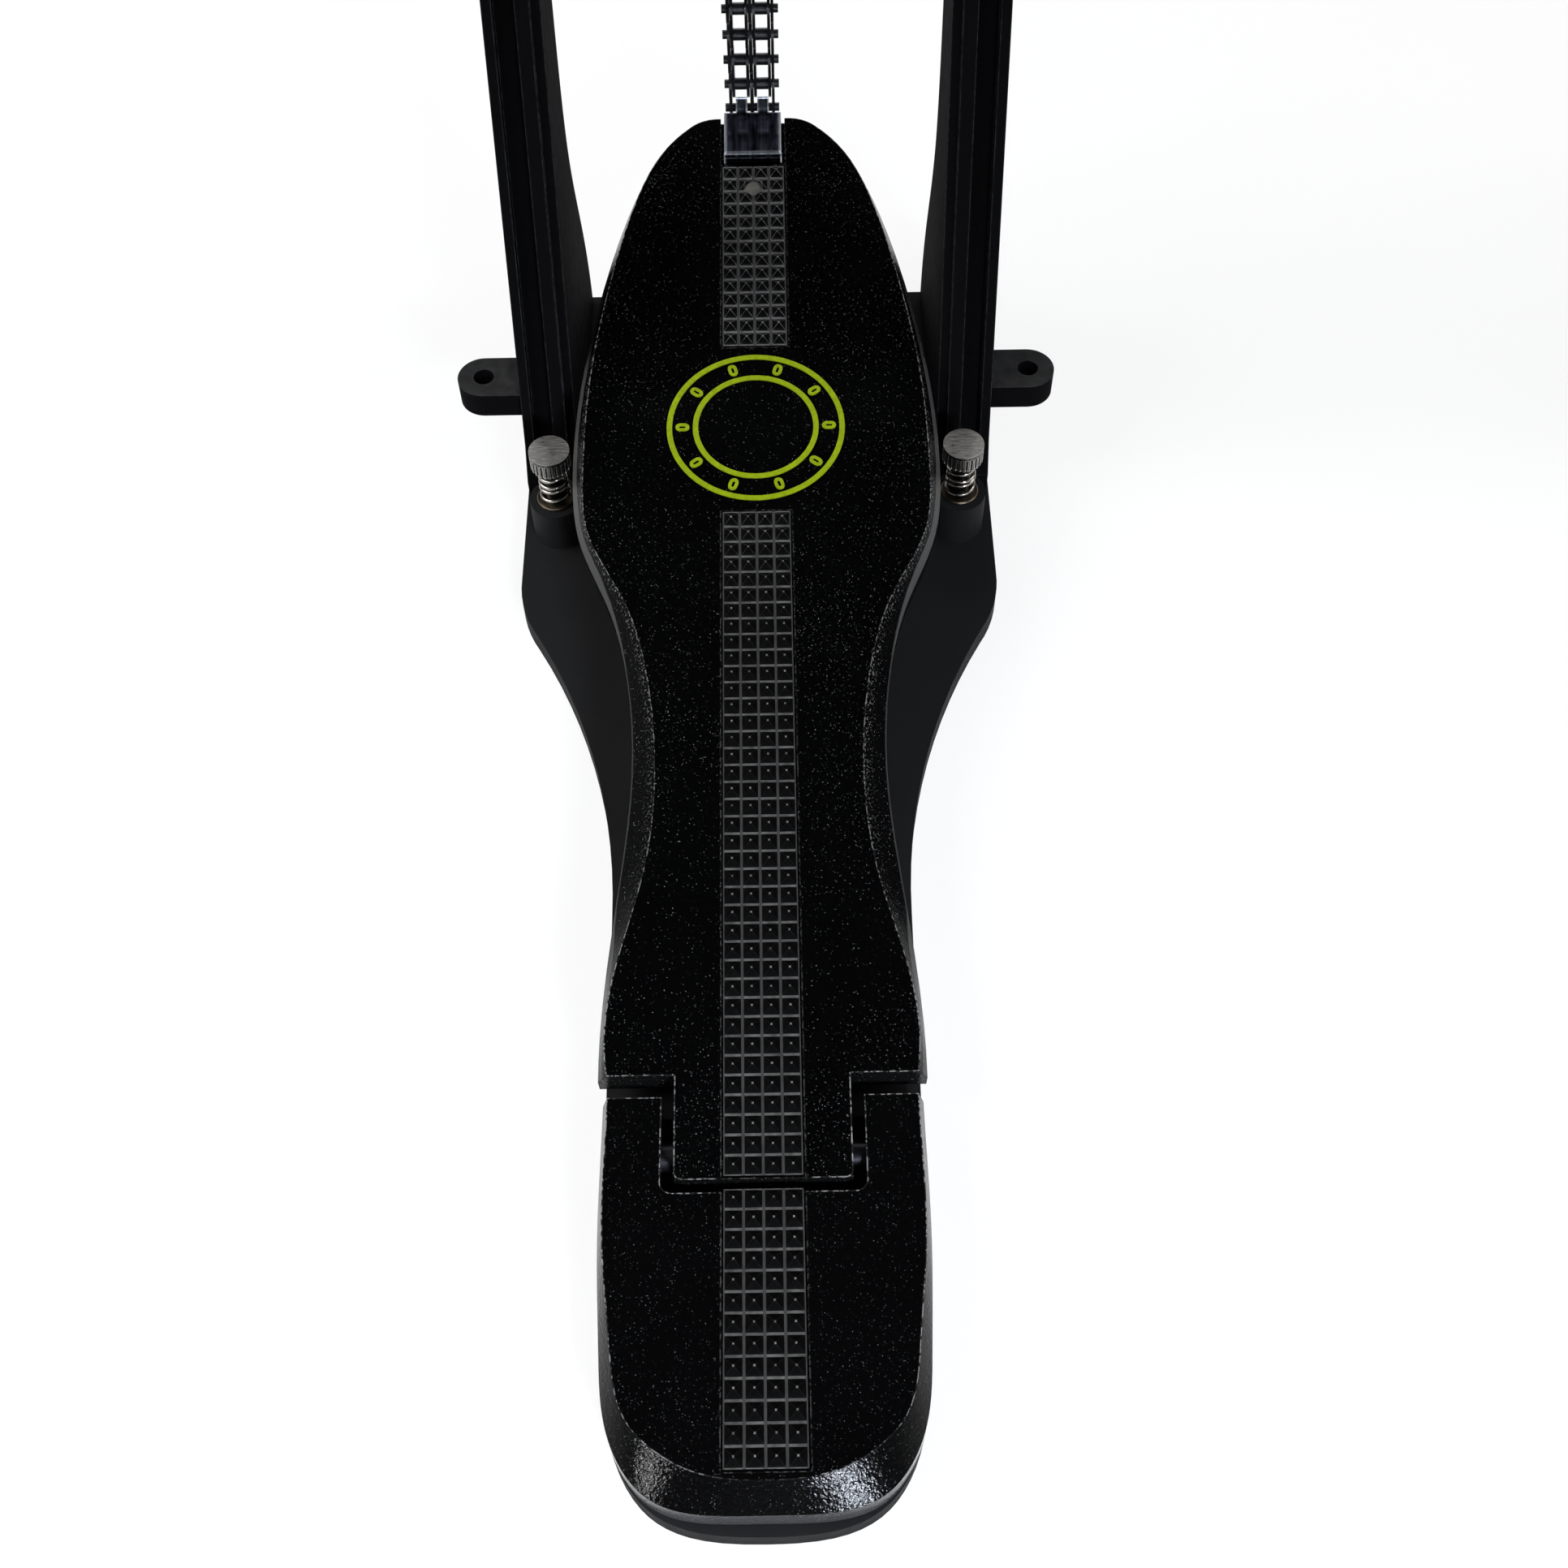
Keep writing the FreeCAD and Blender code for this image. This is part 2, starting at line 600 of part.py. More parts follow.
def make_footboard():
    """Cast board: flat hourglass top, bevelled edge, ribbed underside, hinge tongue at the heel."""
    wires = [
        board_wire(2, TOE_WALL_HALF, BOARD_TOP - BOARD_THICKNESS),
        board_wire(2, TOE_WALL_HALF, BOARD_TOP - BOARD_BEVEL),
        board_wire(1, TOE_TOP_HALF, BOARD_TOP),
    ]
    board = Part.makeLoft(wires, True, True).cut(board_pockets())
    half = TONGUE_HALF_WIDTH
    low = BOARD_TOP - BOARD_THICKNESS
    tongue = round_corners(box(-half, half, -TONGUE_BACK, SHOULDER_U + 4, low, BOARD_TOP), -TONGUE_BACK,
                           TONGUE_CORNER_RADIUS)
    barrel = rod_x(0, 0, HINGE_BARREL_RADIUS, -half, half)
    below_top = box(-half, half, -20, 20, -20, BOARD_TOP)
    board = join([board, tongue, barrel.common(below_top)])
    board = board.cut(rod_x(0, 0, HINGE_PIN_RADIUS + RUNNING_CLEARANCE, -50, 50))
    for start, rows in ((BOARD_TREAD_START_U, BOARD_TREAD_ROWS), (TOE_TREAD_START_U, TOE_TREAD_ROWS)):
        channel = tread_channel(start, rows)
        channel.translate(V(0, 0, BOARD_TOP))
        board = board.cut(channel)
    board = board.cut(clip_recess())
    board = board.cut(rod_z(0, CLIP_SCREW_U, CLIP_SHANK_RADIUS + SEAT_CLEARANCE, -20, 20))
    return on_board(board)


def make_hinge_pin():
    return rod_x(0, HINGE_Z, HINGE_PIN_RADIUS, -HINGE_HALF_LENGTH, HINGE_HALF_LENGTH)


# Posts
def post_layer(rear_shift, x0, x1):
    """Side outline of a post with its rear face set forward by rear_shift, pushed along X."""
    head_rear = AXLE_Y - POST_HEAD_REAR + rear_shift
    head_front = AXLE_Y + POST_HEAD_FRONT
    corners = [
        V(x0, POST_FOOT_FRONT_Y, PLATE_TOP),
        V(x0, POST_FOOT_REAR_Y, PLATE_TOP),
        V(x0, POST_FOOT_REAR_Y, PLATE_TOP + POST_FOOT_HEIGHT),
        V(x0, POST_KNEE_Y + rear_shift, POST_KNEE_Z),
        V(x0, head_rear, AXLE_Z),
        V(x0, head_front, AXLE_Z),
    ]
    front = [
        corners[-1],
        *[V(x0, AXLE_Y + ahead, PLATE_TOP + above) for ahead, above in POST_FRONT_STATIONS],
        corners[0],
    ]
    edges = [line(a, b) for a, b in zip(corners[:-1], corners[1:])]
    return sweep(edges + [spline(front)], V(x1 - x0, 0, 0))


def make_post(side):
    """Cast post with a grooved rear face, a bearing housing on top and a spring lug at its foot."""
    inner = POST_INNER_X
    outer = inner + POST_WIDTH
    flange = outer - POST_FLANGE
    groove = flange - POST_GROOVE
    rib = groove - POST_RIB
    pieces = [
        post_layer(0.0, flange, outer),
        post_layer(POST_GROOVE_DEPTH, groove, flange),
        post_layer(0.0, rib, groove),
        post_layer(POST_STEP_DEPTH, inner, rib),
        rod_x(AXLE_Y, AXLE_Z, HOUSING_RADIUS, inner - HOUSING_PROUD, outer + HOUSING_PROUD),
        box(outer - 2, LUG_X, LUG_Y - LUG_RADIUS, LUG_Y + LUG_RADIUS, LUG_TOP - LUG_THICKNESS, LUG_TOP),
        rod_z(LUG_X, LUG_Y, LUG_RADIUS, LUG_TOP - LUG_THICKNESS, LUG_TOP),
    ]
    post = join(pieces)
    post = post.cut(rod_z(LUG_X, LUG_Y, LUG_BORE_RADIUS, 0, LUG_TOP + 5))
    seat = BEARING_RADIUS + SEAT_CLEARANCE
    centre = inner + POST_WIDTH / 2
    post = post.cut(rod_x(AXLE_Y, AXLE_Z, seat, centre - BEARING_WIDTH / 2, outer + 5))
    post = post.cut(rod_x(AXLE_Y, AXLE_Z, BEARING_RADIUS - 2, inner - 5, outer))
    if side < 0:
        post = post.mirror(V(0, 0, 0), X_AXIS)
    return post


def make_bearings():
    """Ball bearing in each post, as its closed ring."""
    rings = []
    start = POST_INNER_X + POST_WIDTH / 2 - BEARING_WIDTH / 2
    for x0 in (start, -start - BEARING_WIDTH):
        ring = rod_x(AXLE_Y, AXLE_Z, BEARING_RADIUS, x0, x0 + BEARING_WIDTH)
        bore = rod_x(AXLE_Y, AXLE_Z, AXLE_RADIUS + RUNNING_CLEARANCE, x0 - 1, x0 + BEARING_WIDTH + 1)
        rings.append(ring.cut(bore))
    return Part.makeCompound(rings)


# Axles
def make_left_axle():
    return rod_x(AXLE_Y, AXLE_Z, AXLE_RADIUS, -POST_INNER_X - POST_WIDTH, AXLE_HUB_END)


def make_right_axle():
    """Axle of the right pedal; its thin end runs in the left beater's axle."""
    shaft = rod_x(AXLE_Y, AXLE_Z, AXLE_RADIUS, SIDE_CLEARANCE - SLEEVE_INNER_X, AXLE_OUTER_END)
    pilot_end = SIDE_CLEARANCE - SLEEVE_INNER_X - PILOT_LENGTH
    pilot = rod_x(AXLE_Y, AXLE_Z, PILOT_RADIUS, pilot_end, 0)
    return join([shaft, pilot])


def make_sleeve_axle():
    """Short axle of the left beater, from inside the right pedal out to the drive shaft."""
    sleeve = rod_x(AXLE_Y, AXLE_Z, SLEEVE_RADIUS, -SLEEVE_OUTER_X, -SLEEVE_INNER_X)
    shaft = rod_x(AXLE_Y, AXLE_Z, AXLE_RADIUS, -AXLE_HUB_END, -SLEEVE_OUTER_X + 1)
    bore_end = -SLEEVE_INNER_X - PILOT_LENGTH - 1
    bore = rod_x(AXLE_Y, AXLE_Z, PILOT_RADIUS + RUNNING_CLEARANCE, bore_end, 0)
    return join([sleeve, shaft]).cut(bore)


# Chain
def chain_pins():
    """Centres (y, z) of the chain's pins, from the clip up the straight run and round the cam."""
    slope = math.radians(BOARD_SLOPE)
    start_y = CLIP_PIN_U * math.cos(slope) - CLIP_PIN_N * math.sin(slope)
    start_z = HINGE_Z + CLIP_PIN_U * math.sin(slope) + CLIP_PIN_N * math.cos(slope)
    away_y = start_y - AXLE_Y
    away_z = start_z - AXLE_Z
    distance = math.hypot(away_y, away_z)
    run = math.sqrt(distance * distance - CAM_PITCH_RADIUS * CAM_PITCH_RADIUS)
    touch = math.atan2(away_z, away_y) + math.acos(CAM_PITCH_RADIUS / distance)
    touch_y = AXLE_Y + CAM_PITCH_RADIUS * math.cos(touch)
    touch_z = AXLE_Z + CAM_PITCH_RADIUS * math.sin(touch)
    step_y = (touch_y - start_y) / run * CHAIN_PITCH
    step_z = (touch_z - start_z) / run * CHAIN_PITCH
    straight = int(run / CHAIN_PITCH)
    wrapped = LOOSE_LINKS if (straight + LOOSE_LINKS) % 2 else LOOSE_LINKS + 1
    pins = [(start_y + i * step_y, start_z + i * step_z) for i in range(straight + 1)]
    rest = run - straight * CHAIN_PITCH
    angle = touch + first_wrap_angle(rest)
    turn = 2.0 * math.asin(CHAIN_PITCH / 2.0 / CAM_PITCH_RADIUS)
    for _ in range(wrapped):
        y = AXLE_Y + CAM_PITCH_RADIUS * math.cos(angle)
        z = AXLE_Z + CAM_PITCH_RADIUS * math.sin(angle)
        pins.append((y, z))
        angle += turn
    return pins


def first_wrap_angle(rest):
    """Angle past the touching point at which a pin one pitch beyond the last straight pin lies."""
    reach = math.hypot(rest, CAM_PITCH_RADIUS)
    lean = math.atan2(rest, CAM_PITCH_RADIUS)
    cosine = (reach * reach + CAM_PITCH_RADIUS ** 2 - CHAIN_PITCH ** 2) / (2 * reach * CAM_PITCH_RADIUS)
    return math.acos(cosine) - lean


def link_plate(a, b, x0, x1, bore):
    """Side plate of a link with round ends about two pins."""
    (ya, za), (yb, zb) = a, b
    length = math.hypot(yb - ya, zb - za)
    across = (-(zb - za) / length * CHAIN_PLATE_HALF_HEIGHT, (yb - ya) / length * CHAIN_PLATE_HALF_HEIGHT)
    corners = [
        (ya + across[0], za + across[1]),
        (yb + across[0], zb + across[1]),
        (yb - across[0], zb - across[1]),
        (ya - across[0], za - across[1]),
    ]
    plate = prism_x(corners, x0, x1)
    ends = [rod_x(y, z, CHAIN_PLATE_HALF_HEIGHT, x0, x1) for y, z in (a, b)]
    plate = join([plate] + ends)
    if bore > 0:
        for y, z in (a, b):
            plate = plate.cut(rod_x(y, z, bore, x0 - 1, x1 + 1))
    return plate


def bush_link(a, b):
    """Inner link: in each strand two plates with a bush at either end."""
    bore = CHAIN_PIN_RADIUS + CHAIN_BORE_SLACK
    strands = []
    for centre in (-STRAND_OFFSET, STRAND_OFFSET):
        inner = BUSH_WIDTH / 2
        pieces = [
            link_plate(a, b, centre - inner - CHAIN_PLATE, centre - inner, bore),
            link_plate(a, b, centre + inner, centre + inner + CHAIN_PLATE, bore),
        ]
        for y, z in (a, b):
            bush = rod_x(y, z, BUSH_RADIUS, centre - inner, centre + inner)
            pieces.append(bush.cut(rod_x(y, z, bore, centre - inner - 1, centre + inner + 1)))
        strands.append(join(pieces))
    return Part.makeCompound(strands)


def pin_link(a, b, upper_pin_through=True):
    """Outer link: a middle plate and two outside plates on two pins."""
    outside = STRAND_OFFSET + BUSH_WIDTH / 2 + CHAIN_PLATE + CHAIN_SIDE_GAP
    middle = STRAND_OFFSET - BUSH_WIDTH / 2 - CHAIN_PLATE - CHAIN_SIDE_GAP
    pieces = [
        link_plate(a, b, -outside - CHAIN_PLATE, -outside, 0),
        link_plate(a, b, outside, outside + CHAIN_PLATE, 0),
        link_plate(a, b, -middle, middle, 0),
    ]
    reach = CHAIN_PIN_HALF_LENGTH
    pieces.append(rod_x(*a, CHAIN_PIN_RADIUS, -reach, reach))
    if upper_pin_through:
        pieces.append(rod_x(*b, CHAIN_PIN_RADIUS, -reach, reach))
        return join(pieces)
    pieces.append(rod_x(*b, CHAIN_PIN_RADIUS, -reach, -outside))
    pieces.append(rod_x(*b, CHAIN_PIN_RADIUS, outside, reach))
    return join(pieces)


def make_links():
    """Every link in order from the clip; each second link, the first and last included, has the pins.

    The lowest loose link has only the heads of its upper pin, so that the two halves of the chain can
    part there a little in the middle of the stroke.
    """
    pins = chain_pins()
    parting = len(pins) - 1 - LOOSE_LINKS
    links = []
    for i, (a, b) in enumerate(zip(pins[:-1], pins[1:])):
        links.append(bush_link(a, b) if i % 2 else pin_link(a, b, i != parting))
    return links


# Cam and chain clip
def polar(radius, degrees):
    angle = math.radians(degrees)
    return (AXLE_Y + radius * math.cos(angle), AXLE_Z + radius * math.sin(angle))


def cam_sector(radius, x0, x1):
    """Slice of the drum between the sector's two ends, with its point on the axle."""
    start = V(x0, *polar(radius, CAM_SECTOR_START))
    middle = V(x0, *polar(radius, (CAM_SECTOR_START + CAM_SECTOR_END) / 2))
    end = V(x0, *polar(radius, CAM_SECTOR_END))
    centre = V(x0, AXLE_Y, AXLE_Z)
    edges = [line(centre, start), Part.Arc(start, middle, end).toShape(), line(end, centre)]
    return sweep(edges, V(x1 - x0, 0, 0))


def make_cam():
    """Drum sector with two rims that the bushes run on, and two ears that hold the chain's end."""
    pieces = [
        cam_sector(CAM_DRUM_RADIUS, -CAM_HALF_WIDTH, CAM_HALF_WIDTH),
        rod_x(AXLE_Y, AXLE_Z, CAM_HUB_RADIUS, -CAM_HALF_WIDTH - 2, CAM_HALF_WIDTH + 2),
    ]
    end_y, end_z = chain_pins()[-1]
    ear_radius = CAM_PITCH_RADIUS - CAM_RIM_RADIUS + 0.8
    for centre in (-STRAND_OFFSET, STRAND_OFFSET):
        x0 = centre - CAM_RIM_WIDTH / 2
        x1 = centre + CAM_RIM_WIDTH / 2
        pieces.append(cam_sector(CAM_RIM_RADIUS, x0, x1))
        pieces.append(rod_x(end_y, end_z, ear_radius, x0, x1))
    cam = join(pieces)
    cam = cam.cut(rod_x(end_y, end_z, CHAIN_PIN_RADIUS + RUNNING_CLEARANCE, -20, 20))
    return cam.cut(rod_x(AXLE_Y, AXLE_Z, AXLE_RADIUS + SEAT_CLEARANCE, -20, 20))


def make_clip():
    """Sheet folded round the chain's lowest pin: a cap in the toe recess and a tongue under the strip."""
    half = CLIP_HALF_WIDTH
    sheet = CLIP_SHEET
    low = CLIP_FLOOR
    high = CLIP_PIN_N + CLIP_FOLD_RADIUS
    front = CLIP_PIN_U - CHAIN_PLATE_HALF_HEIGHT - 0.6
    cap = box(-half, half, CLIP_BACK_U, front, low, high)
    rims = [e for e in cap.Edges if all(v.Z > high - 0.001 for v in e.Vertexes)]
    cap = cap.makeFillet(CLIP_ROUND, rims)
    hollow = box(-half + sheet, half - sheet, CLIP_BACK_U + sheet, front + 1, low + sheet, high - sheet)
    pieces = [
        cap.cut(hollow),
        box(-CLIP_TONGUE_HALF, CLIP_TONGUE_HALF, CLIP_TONGUE_BACK_U, CLIP_BACK_U + sheet, low, low + sheet),
    ]
    for centre in (-STRAND_OFFSET, STRAND_OFFSET):
        x0 = centre - BUSH_WIDTH / 2
        x1 = centre + BUSH_WIDTH / 2
        pieces.append(box(x0, x1, front - 1.0, CLIP_PIN_U, low, low + sheet))
        pieces.append(box(x0, x1, front - 1.0, CLIP_PIN_U, high - sheet, high))
        pieces.append(rod_x(CLIP_PIN_U, CLIP_PIN_N, CLIP_FOLD_RADIUS, x0, x1))
    clip = join(pieces)
    bore = CHAIN_PIN_RADIUS + RUNNING_CLEARANCE
    clip = clip.cut(rod_x(CLIP_PIN_U, CLIP_PIN_N, bore, -20, 20))
    clip = clip.cut(rod_z(0, CLIP_SCREW_U, CLIP_SHANK_RADIUS + SEAT_CLEARANCE, -20, 20))
    return on_board(clip)


def make_clip_screw():
    """Round-headed screw through the toe strip that holds the clip's tongue down on the board."""
    seat = BOARD_TOP + TREAD_BASE - TREAD_SINK
    head = Part.makeSphere(CLIP_SCREW_RADIUS * 1.25, V(0, CLIP_SCREW_U, seat - CLIP_SCREW_RADIUS * 0.75))
    head = head.common(rod_z(0, CLIP_SCREW_U, CLIP_SCREW_RADIUS, seat, seat + 5))
    low = BOARD_TOP - BOARD_ROOF
    return on_board(join([head, rod_z(0, CLIP_SCREW_U, CLIP_SHANK_RADIUS, low, seat + 0.2)]))


# Wound wire
def biarc(p0, t0, p1, t1):
    """Two arcs that leave p0 along t0, meet smoothly and reach p1 along t1."""
    chord = p1 - p0
    turn = t0 + t1
    square = 2.0 * (1.0 - t0.dot(t1))
    along = chord.dot(turn)
    length = (-along + math.sqrt(along * along + square * chord.dot(chord))) / square
    middle = (p0 + t0 * length + p1 - t1 * length) * 0.5
    meet = (p1 - t1 * length) - (p0 + t0 * length)
    meet.normalize()
    return [arc_along(p0, t0, middle), arc_along(middle, meet, p1)]


def arc_along(start, direction, end):
    """Arc from start along a direction to end."""
    chord = end - start
    length = chord.Length
    cosine = max(-1.0, min(1.0, direction.dot(chord) / length))
    half_turn = math.acos(cosine)
    side = direction - chord * (direction.dot(chord) / (length * length))
    side.normalize()
    sag = length / 2.0 * math.tan(half_turn / 2.0)
    return Part.Arc(start, start + chord * 0.5 + side * sag, end).toShape()


def helix_point(radius, pitch, turn):
    angle = 2.0 * math.pi * turn
    return V(radius * math.cos(angle), radius * math.sin(angle), pitch * turn)


def helix_direction(radius, pitch, turn):
    angle = 2.0 * math.pi * turn
    tangent = V(-radius * math.sin(angle), radius * math.cos(angle), pitch / (2.0 * math.pi))
    return tangent.normalize()


def helix_edges(radius, pitch, turns):
    edges = []
    quarters = int(turns * 4)
    for i in range(quarters):
        a = i / 4.0
        b = a + 0.25
        start = helix_point(radius, pitch, a)
        end = helix_point(radius, pitch, b)
        edges += biarc(start, helix_direction(radius, pitch, a), end, helix_direction(radius, pitch, b))
    return edges


def wire_tube(edges, start, direction, wire_radius):
    profile = Part.Wire(Part.makeCircle(wire_radius, start, direction))
    return Part.Wire(edges).makePipeShell([profile], True, False)


def report_gap(name, radius, pitch, wire_radius):
    """Least gap between neighbouring turns, measured on points of the wire's centre line."""
    least = 1e9
    here = helix_point(radius, pitch, 0.0)
    for i in range(60, 181):
        least = min(least, (helix_point(radius, pitch, i / 120.0) - here).Length)
    print(name, "least gap between turns", round(least - 2.0 * wire_radius, 2), "mm")


def make_spur_springs():
    """Coil spring round each spur screw, between its boss and its knob."""
    low = PLATE_TOP + SPUR_BOSS_HEIGHT + SPUR_SPRING_WIRE + 0.1
    high = SPUR_TOP - SPUR_KNOB_HEIGHT - SPUR_SPRING_WIRE - 0.1
    pitch = (high - low) / SPUR_SPRING_TURNS
    report_gap("spur spring", SPUR_SPRING_RADIUS, pitch, SPUR_SPRING_WIRE)
    edges = helix_edges(SPUR_SPRING_RADIUS, pitch, SPUR_SPRING_TURNS)
    start = helix_point(SPUR_SPRING_RADIUS, pitch, 0)
    direction = helix_direction(SPUR_SPRING_RADIUS, pitch, 0)
    coil = wire_tube(edges, start, direction, SPUR_SPRING_WIRE)
    coils = []
    for side in (-1, 1):
        placed = coil.copy()
        placed.translate(V(side * SPUR_X, SPUR_Y, low))
        coils.append(placed)
    return Part.makeCompound(coils)


def make_spur(side):
    """Spur screw: pointed shank and knurled knob."""
    x = side * SPUR_X
    knob = rod_z(x, SPUR_Y, SPUR_KNOB_RADIUS, SPUR_TOP - SPUR_KNOB_HEIGHT, SPUR_TOP)
    flutes = []
    for i in range(SPUR_FLUTES):
        angle = 2.0 * math.pi * i / SPUR_FLUTES
        fx = x + SPUR_KNOB_RADIUS * math.cos(angle)
        fy = SPUR_Y + SPUR_KNOB_RADIUS * math.sin(angle)
        flutes.append(rod_z(fx, fy, SPUR_FLUTE_RADIUS, 0, SPUR_TOP - 0.8))
    knob = knob.cut(Part.makeCompound(flutes))
    point_height = 2.0 * SPUR_RADIUS
    shank = rod_z(x, SPUR_Y, SPUR_RADIUS, SPUR_TIP + point_height, SPUR_TOP - SPUR_KNOB_HEIGHT + 1)
    point = Part.makeCone(0.4, SPUR_RADIUS, point_height, V(x, SPUR_Y, SPUR_TIP))
    return join([knob, shank, point])


# Return springs of the right pedal
def spring_direction():
    """Unit vector (y, z) from the spring's lower peg to the axle."""
    dy = AXLE_Y - LUG_Y
    dz = AXLE_Z - SPRING_PEG_Z
    length = math.hypot(dy, dz)
    return dy / length, dz / length, length


def make_return_spring(side):
    """Coil with a side loop at each end: the lower on the bolt's peg, the upper on the arm's peg."""
    dir_y, dir_z, length = spring_direction()
    slack = SPRING_LOOP_RADIUS - SPRING_WIRE - SPRING_PEG_RADIUS - SIDE_CLEARANCE
    loop = SPRING_LOOP_RADIUS
    coil = length - SPRING_ARM_LENGTH - 2.0 * loop
    pitch = coil / SPRING_TURNS
    report_gap("return spring", SPRING_RADIUS, pitch, SPRING_WIRE)
    start = helix_point(SPRING_RADIUS, pitch, 0)
    end = helix_point(SPRING_RADIUS, pitch, SPRING_TURNS)
    first = helix_direction(SPRING_RADIUS, pitch, 0)
    across = V(-1, 0, 0)
    edges = loop_edges(start, first, across.cross(first), -1)
    edges += helix_edges(SPRING_RADIUS, pitch, SPRING_TURNS)
    edges += loop_edges(end, first, first.cross(across), 1)
    ordered = Part.Wire(edges)
    point = edges[0].valueAt(edges[0].FirstParameter)
    tangent = edges[0].tangentAt(edges[0].FirstParameter)
    profile = Part.Wire(Part.makeCircle(SPRING_WIRE, point, tangent))
    spring = ordered.makePipeShell([profile], True, False)
    spring.translate(V(0, 0, loop + slack))
    spring.rotate(V(0, 0, 0), X_AXIS, -math.degrees(math.atan2(dir_y, dir_z)))
    if side < 0:
        spring = spring.mirror(V(0, 0, 0), X_AXIS)
    spring.translate(V(side * LUG_X, LUG_Y, SPRING_PEG_Z))
    return spring


def loop_edges(point, tangent, inward, order):
    """Nearly closed end loop in the plane of tangent and inward, joined to the coil at point."""
    centre = point + inward * SPRING_LOOP_RADIUS
    places = []
    for degrees in (0, 75, 150, 225, 300):
        angle = math.radians(degrees) * order
        offset = tangent * math.sin(angle) - inward * math.cos(angle)
        places.append(centre + offset * SPRING_LOOP_RADIUS)
    arcs = [
        Part.Arc(places[0], places[1], places[2]).toShape(),
        Part.Arc(places[2], places[3], places[4]).toShape(),
    ]
    if order > 0:
        return arcs
    return [
        Part.Arc(places[4], places[3], places[2]).toShape(),
        Part.Arc(places[2], places[1], places[0]).toShape(),
    ]


def arm_plate(x0, x1):
    """Crank from the axle down to the spring's upper peg."""
    dir_y, dir_z, length = spring_direction()
    peg_y = AXLE_Y - dir_y * SPRING_ARM_LENGTH
    peg_z = AXLE_Z - dir_z * SPRING_ARM_LENGTH
    tip = SPRING_PEG_RADIUS + 2.0
    hub = AXLE_RADIUS + 4.5
    corners = [
        (AXLE_Y - dir_z * hub, AXLE_Z + dir_y * hub),
        (AXLE_Y + dir_z * hub, AXLE_Z - dir_y * hub),
        (peg_y + dir_z * tip, peg_z - dir_y * tip),
        (peg_y - dir_z * tip, peg_z + dir_y * tip),
    ]
    return [
        prism_x(corners, x0, x1),
        rod_x(AXLE_Y, AXLE_Z, hub, x0, x1),
        rod_x(peg_y, peg_z, tip, x0, x1),
    ], (peg_y, peg_z)


def peg_span():
    """Where the pegs start and end along X: beside the post's head, through the spring's loop."""
    start = POST_INNER_X + POST_WIDTH + HOUSING_PROUD + SIDE_CLEARANCE
    return start, LUG_X + SPRING_RADIUS + SPRING_WIRE + SIDE_CLEARANCE + 1.5


def make_spring_arm():
    """Arm on the outer end of the right axle that the right return spring pulls on."""
    start, end = peg_span()
    pieces, (peg_y, peg_z) = arm_plate(start, start + SPRING_ARM_THICKNESS)
    pieces.append(rod_x(peg_y, peg_z, SPRING_PEG_RADIUS, start, end))
    arm = join(pieces)
    return arm.cut(rod_x(AXLE_Y, AXLE_Z, AXLE_RADIUS + SEAT_CLEARANCE, 0, AXLE_OUTER_END + 1))


def make_tension_bolts():
    """Threaded bolt in each lug with two nuts and a peg on its head for the spring's lower loop."""
    bolts = []
    start, end = peg_span()
    head_x = start + SPRING_ARM_THICKNESS
    for side in (-1, 1):
        shank = rod_z(LUG_X, LUG_Y, BOLT_RADIUS, BOLT_BOTTOM, SPRING_PEG_Z - 6)
        neck = box(start, LUG_X + BOLT_RADIUS, LUG_Y - 4, LUG_Y + 4, SPRING_PEG_Z - 10, SPRING_PEG_Z - 6)
        cheek = box(start, head_x, LUG_Y - 4, LUG_Y + 4, SPRING_PEG_Z - 7, SPRING_PEG_Z + 4)
        peg = rod_x(LUG_Y, SPRING_PEG_Z, SPRING_PEG_RADIUS, start, end)
        upper = rod_z(LUG_X, LUG_Y, NUT_RADIUS, LUG_TOP, LUG_TOP + NUT_HEIGHT)
        low = LUG_TOP - LUG_THICKNESS
        lower = rod_z(LUG_X, LUG_Y, NUT_RADIUS, low - NUT_HEIGHT, low)
        bolt = join([shank, neck, cheek, peg, upper, lower])
        if side < 0:
            bolt = bolt.mirror(V(0, 0, 0), X_AXIS)
        bolts.append(bolt)
    return Part.makeCompound(bolts)


# Beaters
def tilted(shape):
    """Lean a beater piece, drawn upright over the axle, back towards the player."""
    placed = shape.copy()
    placed.translate(V(0, AXLE_Y, AXLE_Z))
    placed.rotate(V(0, AXLE_Y, AXLE_Z), X_AXIS, BEATER_TILT)
    return placed


def make_beater_hub(x, bore):
    """Hub with the upright clamp that grips the beater's rod."""
    half = BEATER_HUB_HALF
    hub = rod_x(0, 0, BEATER_HUB_RADIUS, x - half, x + half)
    clamp = box(x - half, x + half, -7.0, 7.0, 0, BEATER_CLAMP_LENGTH)
    hub = join([hub, clamp])
    hub = hub.cut(rod_z(x, 0, BEATER_ROD_RADIUS + RUNNING_CLEARANCE, BEATER_HUB_RADIUS - 3, 60))
    hub = hub.cut(rod_x(0, 0, bore + SEAT_CLEARANCE, x - 30, x + 30))
    return tilted(hub)


def make_beater_rod(x):
    top = BEATER_ROD_START + BEATER_ROD_LENGTH
    return tilted(rod_z(x, 0, BEATER_ROD_RADIUS, BEATER_ROD_START, top))


